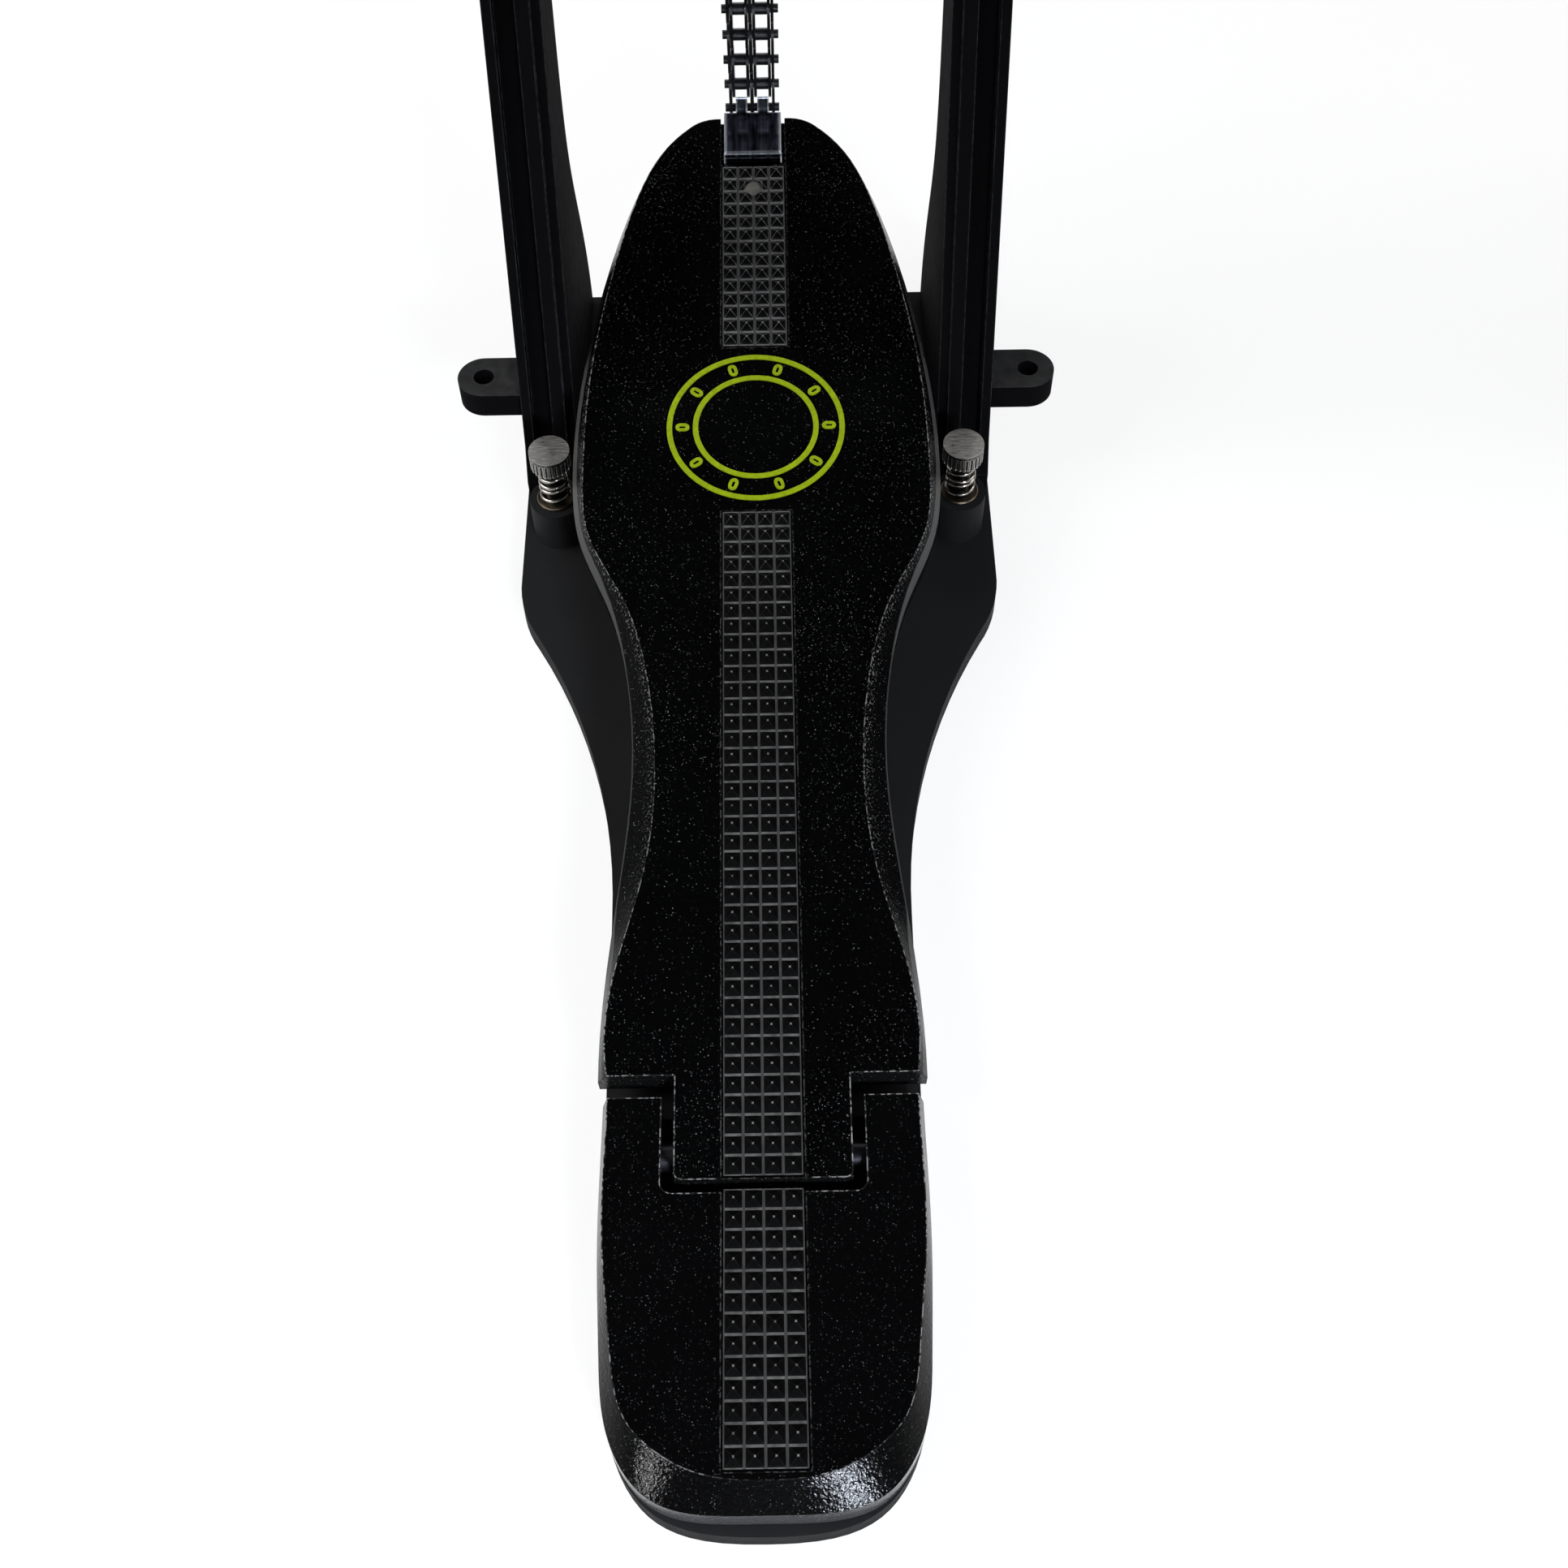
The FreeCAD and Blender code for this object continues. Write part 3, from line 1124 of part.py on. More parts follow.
def make_beater_head(x):
    """Felt head: a short round block with softened rims, its flat face to the drum."""
    top = BEATER_ROD_START + BEATER_ROD_LENGTH
    centre = top - BEATER_HEAD_RADIUS * 0.75
    half = BEATER_HEAD_LENGTH / 2
    head = Part.makeCylinder(BEATER_HEAD_RADIUS, BEATER_HEAD_LENGTH, V(x, -half, centre), V(0, 1, 0))
    rims = [edge for edge in head.Edges if edge.Closed and edge.Length > 1]
    head = head.makeFillet(BEATER_FACE_ROUND, rims)
    bore = BEATER_ROD_RADIUS + SEAT_CLEARANCE
    return tilted(head.cut(rod_z(x, 0, bore, 0, top + SIDE_CLEARANCE)))


# Drive shaft, drawn along X from a pedal's centre line
def yoke_arms(x0, x1, upright):
    """Two fork arms, above and below the shaft's axis or on its two sides."""
    reach = YOKE_RADIUS
    inner = YOKE_RADIUS - YOKE_ARM_THICKNESS
    half = YOKE_ARM_HALF
    arms = []
    for side in (-1, 1):
        low, high = sorted((side * inner, side * reach))
        if upright:
            arms.append(box(x0, x1, AXLE_Y - half, AXLE_Y + half, AXLE_Z + low, AXLE_Z + high))
        else:
            arms.append(box(x0, x1, AXLE_Y + low, AXLE_Y + high, AXLE_Z - half, AXLE_Z + half))
    return arms


def cross_bores():
    bore = CROSS_PIN_RADIUS + SEAT_CLEARANCE
    upright = rod_z(CROSS_X, AXLE_Y, bore, AXLE_Z - 30, AXLE_Z + 30)
    level = Part.makeCylinder(bore, 60, V(CROSS_X, AXLE_Y - 30, AXLE_Z), V(0, 1, 0))
    return upright.fuse(level)


def make_hub_yoke():
    """Fork clamped on an axle's end."""
    pieces = [
        rod_x(AXLE_Y, AXLE_Z, YOKE_RADIUS, YOKE_HUB_START, YOKE_HUB_END),
        rod_x(AXLE_Y, AXLE_Z, YOKE_SLEEVE_RADIUS, YOKE_SLEEVE_START, YOKE_HUB_START + 1),
    ]
    pieces += yoke_arms(YOKE_HUB_END - 2, CROSS_X + YOKE_ARM_HALF, True)
    yoke = join(pieces).cut(cross_bores())
    return yoke.cut(rod_x(AXLE_Y, AXLE_Z, AXLE_RADIUS + SEAT_CLEARANCE, 0, AXLE_HUB_END))


def make_hub_yoke_with_arm():
    """Fork on the left beater's axle, cast in one with the arm of the left return spring."""
    start, end = peg_span()
    pieces, (peg_y, peg_z) = arm_plate(start, start + SPRING_ARM_THICKNESS)
    pieces.append(rod_x(peg_y, peg_z, SPRING_PEG_RADIUS, start, end))
    yoke = join(pieces + [make_hub_yoke()])
    yoke = yoke.cut(rod_x(AXLE_Y, AXLE_Z, AXLE_RADIUS + SEAT_CLEARANCE, 0, AXLE_HUB_END))
    return yoke.mirror(V(0, 0, 0), X_AXIS)


def make_cross():
    core = box(CROSS_X - CROSS_HALF, CROSS_X + CROSS_HALF, AXLE_Y - CROSS_HALF, AXLE_Y + CROSS_HALF,
               AXLE_Z - CROSS_HALF, AXLE_Z + CROSS_HALF)
    upright = rod_z(CROSS_X, AXLE_Y, CROSS_PIN_RADIUS, AXLE_Z - YOKE_RADIUS, AXLE_Z + YOKE_RADIUS)
    level = Part.makeCylinder(
        CROSS_PIN_RADIUS, 2 * YOKE_RADIUS, V(CROSS_X, AXLE_Y - YOKE_RADIUS, AXLE_Z), V(0, 1, 0))
    return join([core, upright, level])


def shaft_fork():
    """Fork on the shaft's own end, turned a quarter from the fork on the axle."""
    disc = rod_x(AXLE_Y, AXLE_Z, YOKE_RADIUS, SHAFT_DISC_START, SHAFT_DISC_END)
    arms = yoke_arms(CROSS_X - YOKE_ARM_HALF, SHAFT_DISC_START + 1, False)
    return [disc] + arms


def hexagon_x(across_flats, x0, x1):
    radius = across_flats / math.sqrt(3.0)
    corners = []
    for i in range(6):
        angle = math.radians(60.0 * i)
        corners.append((AXLE_Y + radius * math.cos(angle), AXLE_Z + radius * math.sin(angle)))
    return prism_x(corners, x0, x1)


def make_shaft_rod():
    """Hexagon rod of the drive shaft, with its fork at the left pedal."""
    rod = hexagon_x(ROD_ACROSS_FLATS, SHAFT_DISC_START + 1, SHAFT_DISC_END + ROD_LENGTH)
    return join(shaft_fork() + [rod]).cut(cross_bores())


def make_shaft_tube():
    """Tube that the hexagon rod slides in, with a locking collar and its fork at the right pedal."""
    end = SHAFT_DISC_END + TUBE_LENGTH
    pieces = shaft_fork() + [
        rod_x(AXLE_Y, AXLE_Z, TUBE_RADIUS, SHAFT_DISC_START + 1, end),
        rod_x(AXLE_Y, AXLE_Z, COLLAR_RADIUS, end - COLLAR_LENGTH, end),
    ]
    tube = join(pieces).cut(cross_bores())
    tube = tube.cut(hexagon_x(ROD_ACROSS_FLATS + 2 * RUNNING_CLEARANCE, SHAFT_DISC_END, end + 1))
    return tube.mirror(V(0, 0, 0), X_AXIS)


# Hoop clamp
def make_clamp_base():
    """Pair of ears on the plate's tongue, with the pin that the jaw turns on."""
    pieces = []
    for side in (-1, 1):
        x0, x1 = sorted((side * CLAMP_EAR_X, side * (CLAMP_EAR_X + CLAMP_EAR_THICKNESS)))
        radius = CLAMP_EAR_RADIUS
        pieces.append(box(x0, x1, CLAMP_PIVOT_Y - radius, CLAMP_PIVOT_Y + radius, PLATE_TOP, CLAMP_PIVOT_Z))
        pieces.append(rod_x(CLAMP_PIVOT_Y, CLAMP_PIVOT_Z, radius, x0, x1))
    reach = CLAMP_EAR_X + CLAMP_EAR_THICKNESS
    pieces.append(rod_x(CLAMP_PIVOT_Y, CLAMP_PIVOT_Z, CLAMP_PIN_RADIUS, -reach - 1, reach + 1))
    return join(pieces)


def make_clamp_jaw():
    """Lever that presses the drum hoop down on the tongue."""
    half = CLAMP_EAR_X - SIDE_CLEARANCE
    low = CLAMP_PIVOT_Z - JAW_THICKNESS / 2
    high = CLAMP_PIVOT_Z + JAW_THICKNESS / 2
    lip = PLATE_TOP + JAW_GAP
    outline = [
        (CLAMP_PIVOT_Y, low),
        (JAW_LIP_Y, lip),
        (CLAMP_FRONT_Y, lip),
        (CLAMP_FRONT_Y, high - 1.0),
        (JAW_LIP_Y, high),
        (CLAMP_PIVOT_Y, high),
    ]
    jaw = join([prism_x(outline, -half, half),
                rod_x(CLAMP_PIVOT_Y, CLAMP_PIVOT_Z, JAW_THICKNESS / 2, -half, half)])
    bore = CLAMP_PIN_RADIUS + RUNNING_CLEARANCE
    jaw = jaw.cut(rod_x(CLAMP_PIVOT_Y, CLAMP_PIVOT_Z, bore, -30, 30))
    slot = CLAMP_SCREW_RADIUS + CLAMP_SLOT_SLACK
    return jaw.cut(rod_z(0, CLAMP_SCREW_Y, slot, 0, 60))


def make_clamp_screw():
    """Wing screw through the jaw into the tongue."""
    seat = CLAMP_PIVOT_Z + JAW_THICKNESS / 2 + SIDE_CLEARANCE
    centre = seat + CLAMP_HEAD_RADIUS
    shank = rod_z(0, CLAMP_SCREW_Y, CLAMP_SCREW_RADIUS, MAT_THICKNESS, centre)
    ball = Part.makeSphere(CLAMP_HEAD_RADIUS, V(0, CLAMP_SCREW_Y, centre))
    thick = WING_THICKNESS / 2
    reach = WING_HALF_LENGTH
    wing = box(-reach, reach, CLAMP_SCREW_Y - thick, CLAMP_SCREW_Y + thick, centre - 2, centre + WING_RISE)
    pieces = [shank, ball, wing]
    for side in (-1, 1):
        tip = V(side * reach, CLAMP_SCREW_Y - thick, centre + WING_RISE / 2)
        pieces.append(Part.makeCylinder(WING_RISE / 2 + 1.5, WING_THICKNESS, tip, V(0, 1, 0)))
    return join(pieces)


def make_pedal(prefix, pedal_x, inner_side, with_clamp):
    """The pieces that both pedals have."""
    save(prefix + "_floor_mat", make_mat(with_clamp), pedal_x)
    save(prefix + "_base_plate", make_base_plate(with_clamp), pedal_x)
    save(prefix + "_heel_plate", make_heel_plate(), pedal_x)
    save(prefix + "_heel_tread", make_heel_tread(), pedal_x)
    save(prefix + "_hinge_pin", make_hinge_pin(), pedal_x)
    save(prefix + "_footboard", make_footboard(), pedal_x)
    save(prefix + "_board_tread", make_board_tread(), pedal_x)
    for name, side in (("inner", inner_side), ("outer", -inner_side)):
        save(prefix + "_post_" + name, make_post(side), pedal_x)
        save(prefix + "_spur_" + name, make_spur(side), pedal_x)
    save(prefix + "_spur_springs", make_spur_springs(), pedal_x)
    save(prefix + "_bearings", make_bearings(), pedal_x)
    save(prefix + "_cam", make_cam(), pedal_x)
    save(prefix + "_chain_clip", Part.makeCompound([make_clip(), make_clip_screw()]), pedal_x)
    links = make_links()
    span = links[:-LOOSE_LINKS]
    save(prefix + "_chain_span", Part.makeCompound(span), pedal_x)
    for i, link in enumerate(links[-LOOSE_LINKS:]):
        save(prefix + "_chain_link_" + str(i + 1), link, pedal_x)


LEFT_X = -PEDAL_SPACING
make_pedal("left", LEFT_X, 1, False)
make_pedal("right", 0.0, -1, True)
save("left_axle", make_left_axle(), LEFT_X)
save("left_yoke", make_hub_yoke(), LEFT_X)
save("left_cross", make_cross(), LEFT_X)
save("shaft_rod", make_shaft_rod(), LEFT_X)
save("shaft_tube", make_shaft_tube())
save("right_cross", make_cross().mirror(V(0, 0, 0), X_AXIS))
save("right_yoke", make_hub_yoke_with_arm())
save("right_axle", make_right_axle())
save("left_beater_axle", make_sleeve_axle())
save("right_spring_arm", make_spring_arm())
save("tension_bolts", make_tension_bolts())
save("left_return_spring", make_return_spring(-1))
save("right_return_spring", make_return_spring(1))
for beater, beater_x, hub_bore in (("left", -BEATER_X, SLEEVE_RADIUS), ("right", BEATER_X, AXLE_RADIUS)):
    save(beater + "_beater_hub", make_beater_hub(beater_x, hub_bore))
    save(beater + "_beater_rod", make_beater_rod(beater_x))
    save(beater + "_beater_head", make_beater_head(beater_x))
save("hoop_clamp_base", make_clamp_base())
save("hoop_clamp_jaw", make_clamp_jaw())
save("hoop_clamp_screw", make_clamp_screw())
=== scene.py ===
"""Looks of the double bass drum pedal: finishes, felt, painted ring, floor, lights and camera."""
import json
import math

import bmesh
import bpy
from mathutils import Matrix, Vector


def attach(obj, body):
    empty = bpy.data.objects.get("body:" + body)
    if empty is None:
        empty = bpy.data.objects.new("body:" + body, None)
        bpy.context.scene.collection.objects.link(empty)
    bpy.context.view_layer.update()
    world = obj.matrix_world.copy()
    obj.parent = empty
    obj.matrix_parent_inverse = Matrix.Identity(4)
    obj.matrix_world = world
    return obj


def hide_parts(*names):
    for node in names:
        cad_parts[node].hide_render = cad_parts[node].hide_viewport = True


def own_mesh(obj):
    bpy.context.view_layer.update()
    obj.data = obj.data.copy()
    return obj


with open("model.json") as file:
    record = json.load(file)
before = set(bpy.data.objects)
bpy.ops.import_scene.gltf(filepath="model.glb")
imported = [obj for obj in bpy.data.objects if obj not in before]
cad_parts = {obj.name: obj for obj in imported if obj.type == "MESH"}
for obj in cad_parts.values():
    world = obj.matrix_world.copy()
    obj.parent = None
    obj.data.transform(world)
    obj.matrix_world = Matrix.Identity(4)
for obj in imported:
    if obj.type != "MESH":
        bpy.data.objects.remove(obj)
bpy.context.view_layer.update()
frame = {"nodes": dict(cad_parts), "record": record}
scene = bpy.context.scene

# Directions
ACROSS = (1.0, 0.0, 0.0)
ALONG = (0.0, 1.0, 0.0)
UP = (0.0, 0.0, 1.0)

# Places on the object, in metres
LEFT_X = -0.330
RIGHT_X = 0.0
PEDALS = (("left", LEFT_X), ("right", RIGHT_X))
HINGE_Z = 0.0125
BOARD_SLOPE = math.radians(6.9)
BOARD_UP = (0.0, -math.sin(BOARD_SLOPE), math.cos(BOARD_SLOPE))
BOARD_TOP = 0.0065             # above the pin
BOARD_BEVEL_FOOT = 0.0025      # above the pin, where the bevel meets the side wall
BOARD_WAIST = (0.065, 0.105)   # along Y, where the painted glints on the bevel come up
HEEL_TOP = 0.017
TREAD_ABOVE = 0.0002           # tread's valley lines above the board's top
TREAD_PYRAMID = 0.0013
TREAD_COLUMN = 0.004
TREAD_BORDER = (0.0070, 0.0076)    # from the centre line, between the outer tips and the strip's border
TREAD_POCKET = (0.0095, 0.0105)    # from the centre line, just outside the pocket that holds the strip
TREAD_TOE = (0.12, 0.24)       # along Y, where the tread turns lighter towards the toe, with stronger painted highlights on its ridges
CLIP_SCREW_END = (0.2565, 0.2560)  # along Y, between the clip's cap and its screw
CLIP_CAP_BACK = 0.2595         # along Y, the cap's back edge
CLIP_LEDGE = 0.0187            # along the board's upright, just above the ledge under that edge
CLIP_LEDGE_END = 0.2615        # along Y, where the ledge is hidden by the cap
SPUR_X = 0.0505                # from a unit's centre line
SPUR_Y = 0.1742
SPUR_BOSS_TOP = 0.018
SPUR_KNOB_UNDER = 0.0303
AXLE = Vector((0.0, 0.2435, 0.150))    # middle of the right unit's axle
BEATER_TILT = math.radians(44.0)


class Shading:
    """A node tree with short ways to add and join shader nodes."""

    def __init__(self, tree):
        self.tree = tree
        coordinates = self.add("ShaderNodeTexCoord").outputs
        self.place = coordinates["Object"]
        self.normal = coordinates["Normal"]
        self.sky = coordinates["Generated"]

    def add(self, kind, **settings):
        node = self.tree.nodes.new(kind)
        for key, value in settings.items():
            setattr(node, key, value)
        return node

    def join(self, output, socket):
        self.tree.links.new(output, socket)

    def maths(self, operation, a, b=None):
        node = self.add("ShaderNodeMath", operation=operation)
        for socket, value in zip(node.inputs, (a, b)):
            if value is None:
                continue
            if isinstance(value, (int, float)):
                socket.default_value = value
            else:
                self.join(value, socket)
        return node.outputs[0]

    def product(self, first, *others):
        """Product of masks and numbers."""
        for other in others:
            first = self.maths("MULTIPLY", first, other)
        return first

    def remap(self, value, low, high, to_low=0.0, to_high=1.0):
        node = self.add("ShaderNodeMapRange")
        node.inputs["From Min"].default_value = low
        node.inputs["From Max"].default_value = high
        node.inputs["To Min"].default_value = to_low
        node.inputs["To Max"].default_value = to_high
        self.join(value, node.inputs["Value"])
        return node.outputs["Result"]

    def mix(self, share, a, b):
        """Blend of two colours, each a tuple or an output."""
        node = self.add("ShaderNodeMix", data_type="RGBA")
        self.join(share, node.inputs["Factor"])
        for name, value in (("A", a), ("B", b)):
            if isinstance(value, tuple):
                node.inputs[name].default_value = (*value, 1.0)
            else:
                self.join(value, node.inputs[name])
        return node.outputs["Result"]

    def along(self, vector, direction):
        """How far a point, or how much a normal, goes along a direction."""
        dot = self.add("ShaderNodeVectorMath", operation="DOT_PRODUCT")
        self.join(vector, dot.inputs[0])
        dot.inputs[1].default_value = direction
        return dot.outputs["Value"]

    def seen(self):
        """1 for rays that show a thing to the eye: directly, in a reflection or through glass."""
        path = self.add("ShaderNodeLightPath").outputs
        indirect = self.maths("MAXIMUM", path["Is Glossy Ray"], path["Is Transmission Ray"])
        return self.maths("MAXIMUM", path["Is Camera Ray"], indirect)


class Finish(Shading):
    """A material and its surface shader."""

    def __init__(self, name):
        self.material = bpy.data.materials.new(name)
        self.material.use_nodes = True
        super().__init__(self.material.node_tree)
        self.surface = self.tree.nodes["Principled BSDF"]

    def put(self, **values):
        """Plain values on the surface shader, by socket name with _ for spaces."""
        for key, value in values.items():
            if isinstance(value, tuple):
                value = (*value, 1.0)
            self.surface.inputs[key.replace("_", " ")].default_value = value

    def colour(self, output):
        self.join(output, self.surface.inputs["Base Color"])

    def roughness(self, output):
        self.join(output, self.surface.inputs["Roughness"])

    def bump(self, height, strength, depth):
        node = self.add("ShaderNodeBump")
        node.inputs["Strength"].default_value = strength
        node.inputs["Distance"].default_value = depth
        self.join(height, node.inputs["Height"])
        self.join(node.outputs["Normal"], self.surface.inputs["Normal"])

    def noise(self, scale, detail=2.0, rough=0.5, place=None):
        node = self.add("ShaderNodeTexNoise")
        node.inputs["Scale"].default_value = scale
        node.inputs["Detail"].default_value = detail
        node.inputs["Roughness"].default_value = rough
        self.join(place or self.place, node.inputs["Vector"])
        return node.outputs["Fac"]

    def streaks(self, scale, stretch):
        """Noise drawn out along the axes on which stretch is small."""
        node = self.add("ShaderNodeMapping")
        node.inputs["Scale"].default_value = stretch
        self.join(self.place, node.inputs["Vector"])
        return self.noise(scale, 3.0, 0.6, node.outputs["Vector"])

    def edges(self, radius, low, high):
        """Mask of the solid's sharp edges, from how far a rounded normal leaves the true one."""
        bevel = self.add("ShaderNodeBevel", samples=4)
        bevel.inputs["Radius"].default_value = radius
        true = self.add("ShaderNodeNewGeometry").outputs["True Normal"]
        dot = self.add("ShaderNodeVectorMath", operation="DOT_PRODUCT")
        self.join(bevel.outputs["Normal"], dot.inputs[0])
        self.join(true, dot.inputs[1])
        away = self.maths("SUBTRACT", 1.0, dot.outputs["Value"])
        return self.remap(away, low, high)

    def facing(self, direction, low, high):
        """Mask of the faces that look along a direction."""
        return self.remap(self.along(self.normal, direction), low, high)


MASK_EDGE = 0.0003             # soft edge of a mask that ends at a place
FLAKE_CELLS = 3800.0           # per metre
SKIN_BUMPS = 1350.0            # per metre
LIP_TALLEST = 0.002            # on the steepest part of the bevel
GLINT_HEIGHTS = (0.0022, 0.0042)   # above the bevel's foot, where the painted glints start and are whole


def flakes(f):
    """Mask of metal flakes: more of them in some zones, few of them bright."""
    cells = f.add("ShaderNodeTexVoronoi")
    cells.inputs["Scale"].default_value = FLAKE_CELLS
    f.join(f.place, cells.inputs["Vector"])
    random = f.add("ShaderNodeSeparateColor")
    f.join(cells.outputs["Color"], random.inputs["Color"])
    zones = f.remap(f.noise(28.0), 0.35, 0.65, 0.9, 0.74)
    chosen = f.maths("GREATER_THAN", random.outputs["Red"], zones)
    dot = f.remap(cells.outputs["Distance"], 0.39, 0.14)
    bright = f.maths("POWER", random.outputs["Green"], 5.0)
    return f.product(chosen, dot, bright)


def bevel_lip_and_glints(f, colour, bevel, foot):
    """A grey lip along a bevel's foot, taller where it is steep, and painted glints of light under the rim.
    """
    height = f.along(f.place, BOARD_UP)
    lip_top = f.remap(f.along(f.normal, BOARD_UP), 0.74, 0.5, foot, foot + LIP_TALLEST)
    lip = f.remap(f.maths("SUBTRACT", height, lip_top), MASK_EDGE, 0.0)
    colour = f.mix(f.product(lip, bevel), colour, (0.046, 0.046, 0.045))
    # painted glints: pale specks of lamp light on the bevel's upper part under the rim, weaker towards the
    # heel
    low, whole = GLINT_HEIGHTS
    glint_rise = f.remap(height, foot + low, foot + whole)
    glint_specks = f.remap(f.noise(1900.0), 0.57, 0.67)
    waist = f.remap(f.along(f.place, ALONG), *BOARD_WAIST, 0.3, 1.0)
    return f.mix(f.product(glint_rise, bevel, glint_specks, waist), colour, (0.16, 0.16, 0.155))


def powder_coat(name, specular, sparkle, wall_reflection, foot=None):
    """Black coat: fine metal flakes, a leathery skin on the bevels, a dotted painted highlight on the top's
    rim and a matt strip under it; a grey lip and painted glints of light on the bevels where their foot's
    height is given."""
    f = Finish(name)
    f.put(Specular_IOR_Level=specular)
    level = f.facing(BOARD_UP, 0.9, 0.98)
    slanted = f.maths("SUBTRACT", 1.0, level)
    upright = f.facing(UP, 0.3, 0.1)
    edge = f.edges(0.00045, 0.004, 0.03)

    colour = f.mix(f.noise(60.0, 3.0), (0.0005, 0.0005, 0.0006), (0.0011, 0.0011, 0.0012))
    # painted reflection: upright walls take the given colour for the bright floor seen in them, light grey
    # on the heel
    colour = f.mix(upright, colour, wall_reflection)
    colour = f.mix(flakes(f), colour, sparkle)
    # painted highlight: a dotted bright line where the top meets its rim, kept off the tread pocket
    rim_glint_dots = f.remap(f.noise(1100.0, 1.0), 0.48, 0.56, 0.05, 1.0)
    from_centre = f.maths("PINGPONG", f.along(f.place, ACROSS), (RIGHT_X - LEFT_X) / 2)
    outside = f.remap(from_centre, *TREAD_POCKET, 0.2, 1.0)
    colour = f.mix(f.product(edge, level, rim_glint_dots, outside), colour, (0.27, 0.27, 0.27))
    if foot:
        bevel = f.product(slanted, f.remap(upright, 1.0, 0.0))
        colour = bevel_lip_and_glints(f, colour, bevel, foot)
    f.colour(colour)

    gloss = f.remap(f.noise(220.0), 0.3, 0.7, 0.11, 0.15)
    f.roughness(f.maths("MAXIMUM", gloss, f.product(edge, slanted, 0.95)))
    skin = f.product(f.noise(SKIN_BUMPS, 2.0, 0.55), f.remap(slanted, 0.0, 1.0, 0.12, 1.0))
    f.bump(skin, strength=0.5, depth=0.00024)
    return f.material


def plain_paint(name, colour, rough, bump_scale, bump_strength, specular, edge=None, dust=None):
    """Even paint with a fine skin and slight clouding; painted highlights on the edges and dusty tops with
    a painted sheen, where given.
    """
    f = Finish(name)
    f.put(Specular_IOR_Level=specular)
    dark = tuple(0.8 * c for c in colour)
    light = tuple(1.2 * c for c in colour)
    skin = f.mix(f.noise(45.0, 4.0), dark, light)
    # painted highlights along the sharp edges, broken up
    if edge:
        highlight_breakup = f.remap(f.noise(700.0), 0.35, 0.65, 0.2, 1.0)
        skin = f.mix(f.product(f.edges(0.0005, 0.01, 0.12), highlight_breakup), skin, edge)
    # lighter, patchy level tops: dust, with a painted sheen there as well
    if dust:
        patches = f.remap(f.noise(350.0, 4.0), 0.25, 0.75, 0.5, 1.0)
        skin = f.mix(f.product(f.facing(UP, 0.9, 0.98), patches), skin, dust)
    f.colour(skin)
    f.roughness(f.remap(f.noise(300.0, 3.0), 0.3, 0.7, rough - 0.05, rough + 0.05))
    f.bump(f.noise(bump_scale), bump_strength, depth=0.0001)
    return f.material


def tread_rubber(name, up, valley_height, centre_x):
    """Black pyramids with painted highlights on their ridges and tips, over grey, dusty valley lines."""
    f = Finish(name)
    f.put(Specular_IOR_Level=0.02)
    height = f.along(f.place, up)
    offset = f.maths("SUBTRACT", f.along(f.place, ACROSS), centre_x)
    toe = f.remap(f.along(f.place, ALONG), *TREAD_TOE)
    dust = f.remap(f.noise(500.0, 3.0), 0.3, 0.75)

    clean = f.mix(toe, (0.033, 0.033, 0.032), (0.08, 0.079, 0.078))
    dusty = f.mix(toe, (0.095, 0.094, 0.092), (0.165, 0.164, 0.16))
    valley = f.mix(dust, clean, dusty)
    column = f.maths("DIVIDE", f.maths("ADD", offset, 1.0), TREAD_COLUMN)
    lengthwise = f.remap(f.maths("PINGPONG", column, 0.5), 0.10, 0.07, 0.0, 0.8)
    valley = f.mix(lengthwise, valley, (0.022, 0.022, 0.0215))

    grime = f.remap(f.noise(900.0, 3.0), 0.5, 0.85)
    peak = f.mix(grime, (0.0008, 0.0008, 0.0009), (0.0025, 0.0025, 0.0024))
    foot = f.remap(height, valley_height + 0.3 * TREAD_PYRAMID, valley_height)
    dusty_foot = f.mix(toe, (0.003, 0.003, 0.0029), (0.024, 0.024, 0.0235))
    peak = f.mix(f.product(foot, dust), peak, dusty_foot)
    # painted highlights on the pyramids' ridges, strong towards the toe
    highlight_breakup = f.remap(f.noise(1400.0, 1.0), 0.3, 0.55, 0.25, 1.0)
    ridge_highlight = f.mix(toe, (0.008, 0.008, 0.0078), (0.22, 0.22, 0.216))
    peak = f.mix(f.product(f.edges(0.00022, 0.004, 0.05), highlight_breakup), peak, ridge_highlight)
    # painted highlight on each pyramid's tip, dimmer near the strip's border
    tip_low = valley_height + 0.85 * TREAD_PYRAMID
    tip = f.remap(height, tip_low, tip_low + 0.1 * TREAD_PYRAMID)
    inside = f.remap(f.maths("ABSOLUTE", offset), *TREAD_BORDER, 1.0, 0.25)
    peak = f.mix(f.product(tip, highlight_breakup, inside), peak, (0.18, 0.18, 0.176))

    f.colour(f.mix(f.facing(up, 0.93, 0.97), peak, valley))
    f.roughness(f.remap(dust, 0.0, 1.0, 0.5, 0.7))
    f.bump(f.noise(1600.0), strength=0.3, depth=0.0001)
    return f.material


def metal(name, colour, rough, streaks=None, metallic=1.0):
    """Plated or ground metal with smudges, and with grinding streaks of a strength where given."""
    f = Finish(name)
    f.put(Metallic=metallic)
    smudge = f.noise(90.0, 4.0)
    dark = tuple(0.82 * c for c in colour)
    f.colour(f.mix(f.remap(smudge, 0.3, 0.7), dark, colour))
    if streaks is None:
        f.roughness(f.remap(smudge, 0.3, 0.7, rough * 0.8, rough * 1.25))
        f.bump(f.noise(1500.0), strength=0.06, depth=0.00005)
    else:
        lines = f.streaks(3500.0, (0.03, 1.0, 1.0))
        f.roughness(f.remap(lines, 0.3, 0.7, rough * 0.7, rough * 1.35))
        f.bump(lines, streaks, depth=0.00004)
    return f.material


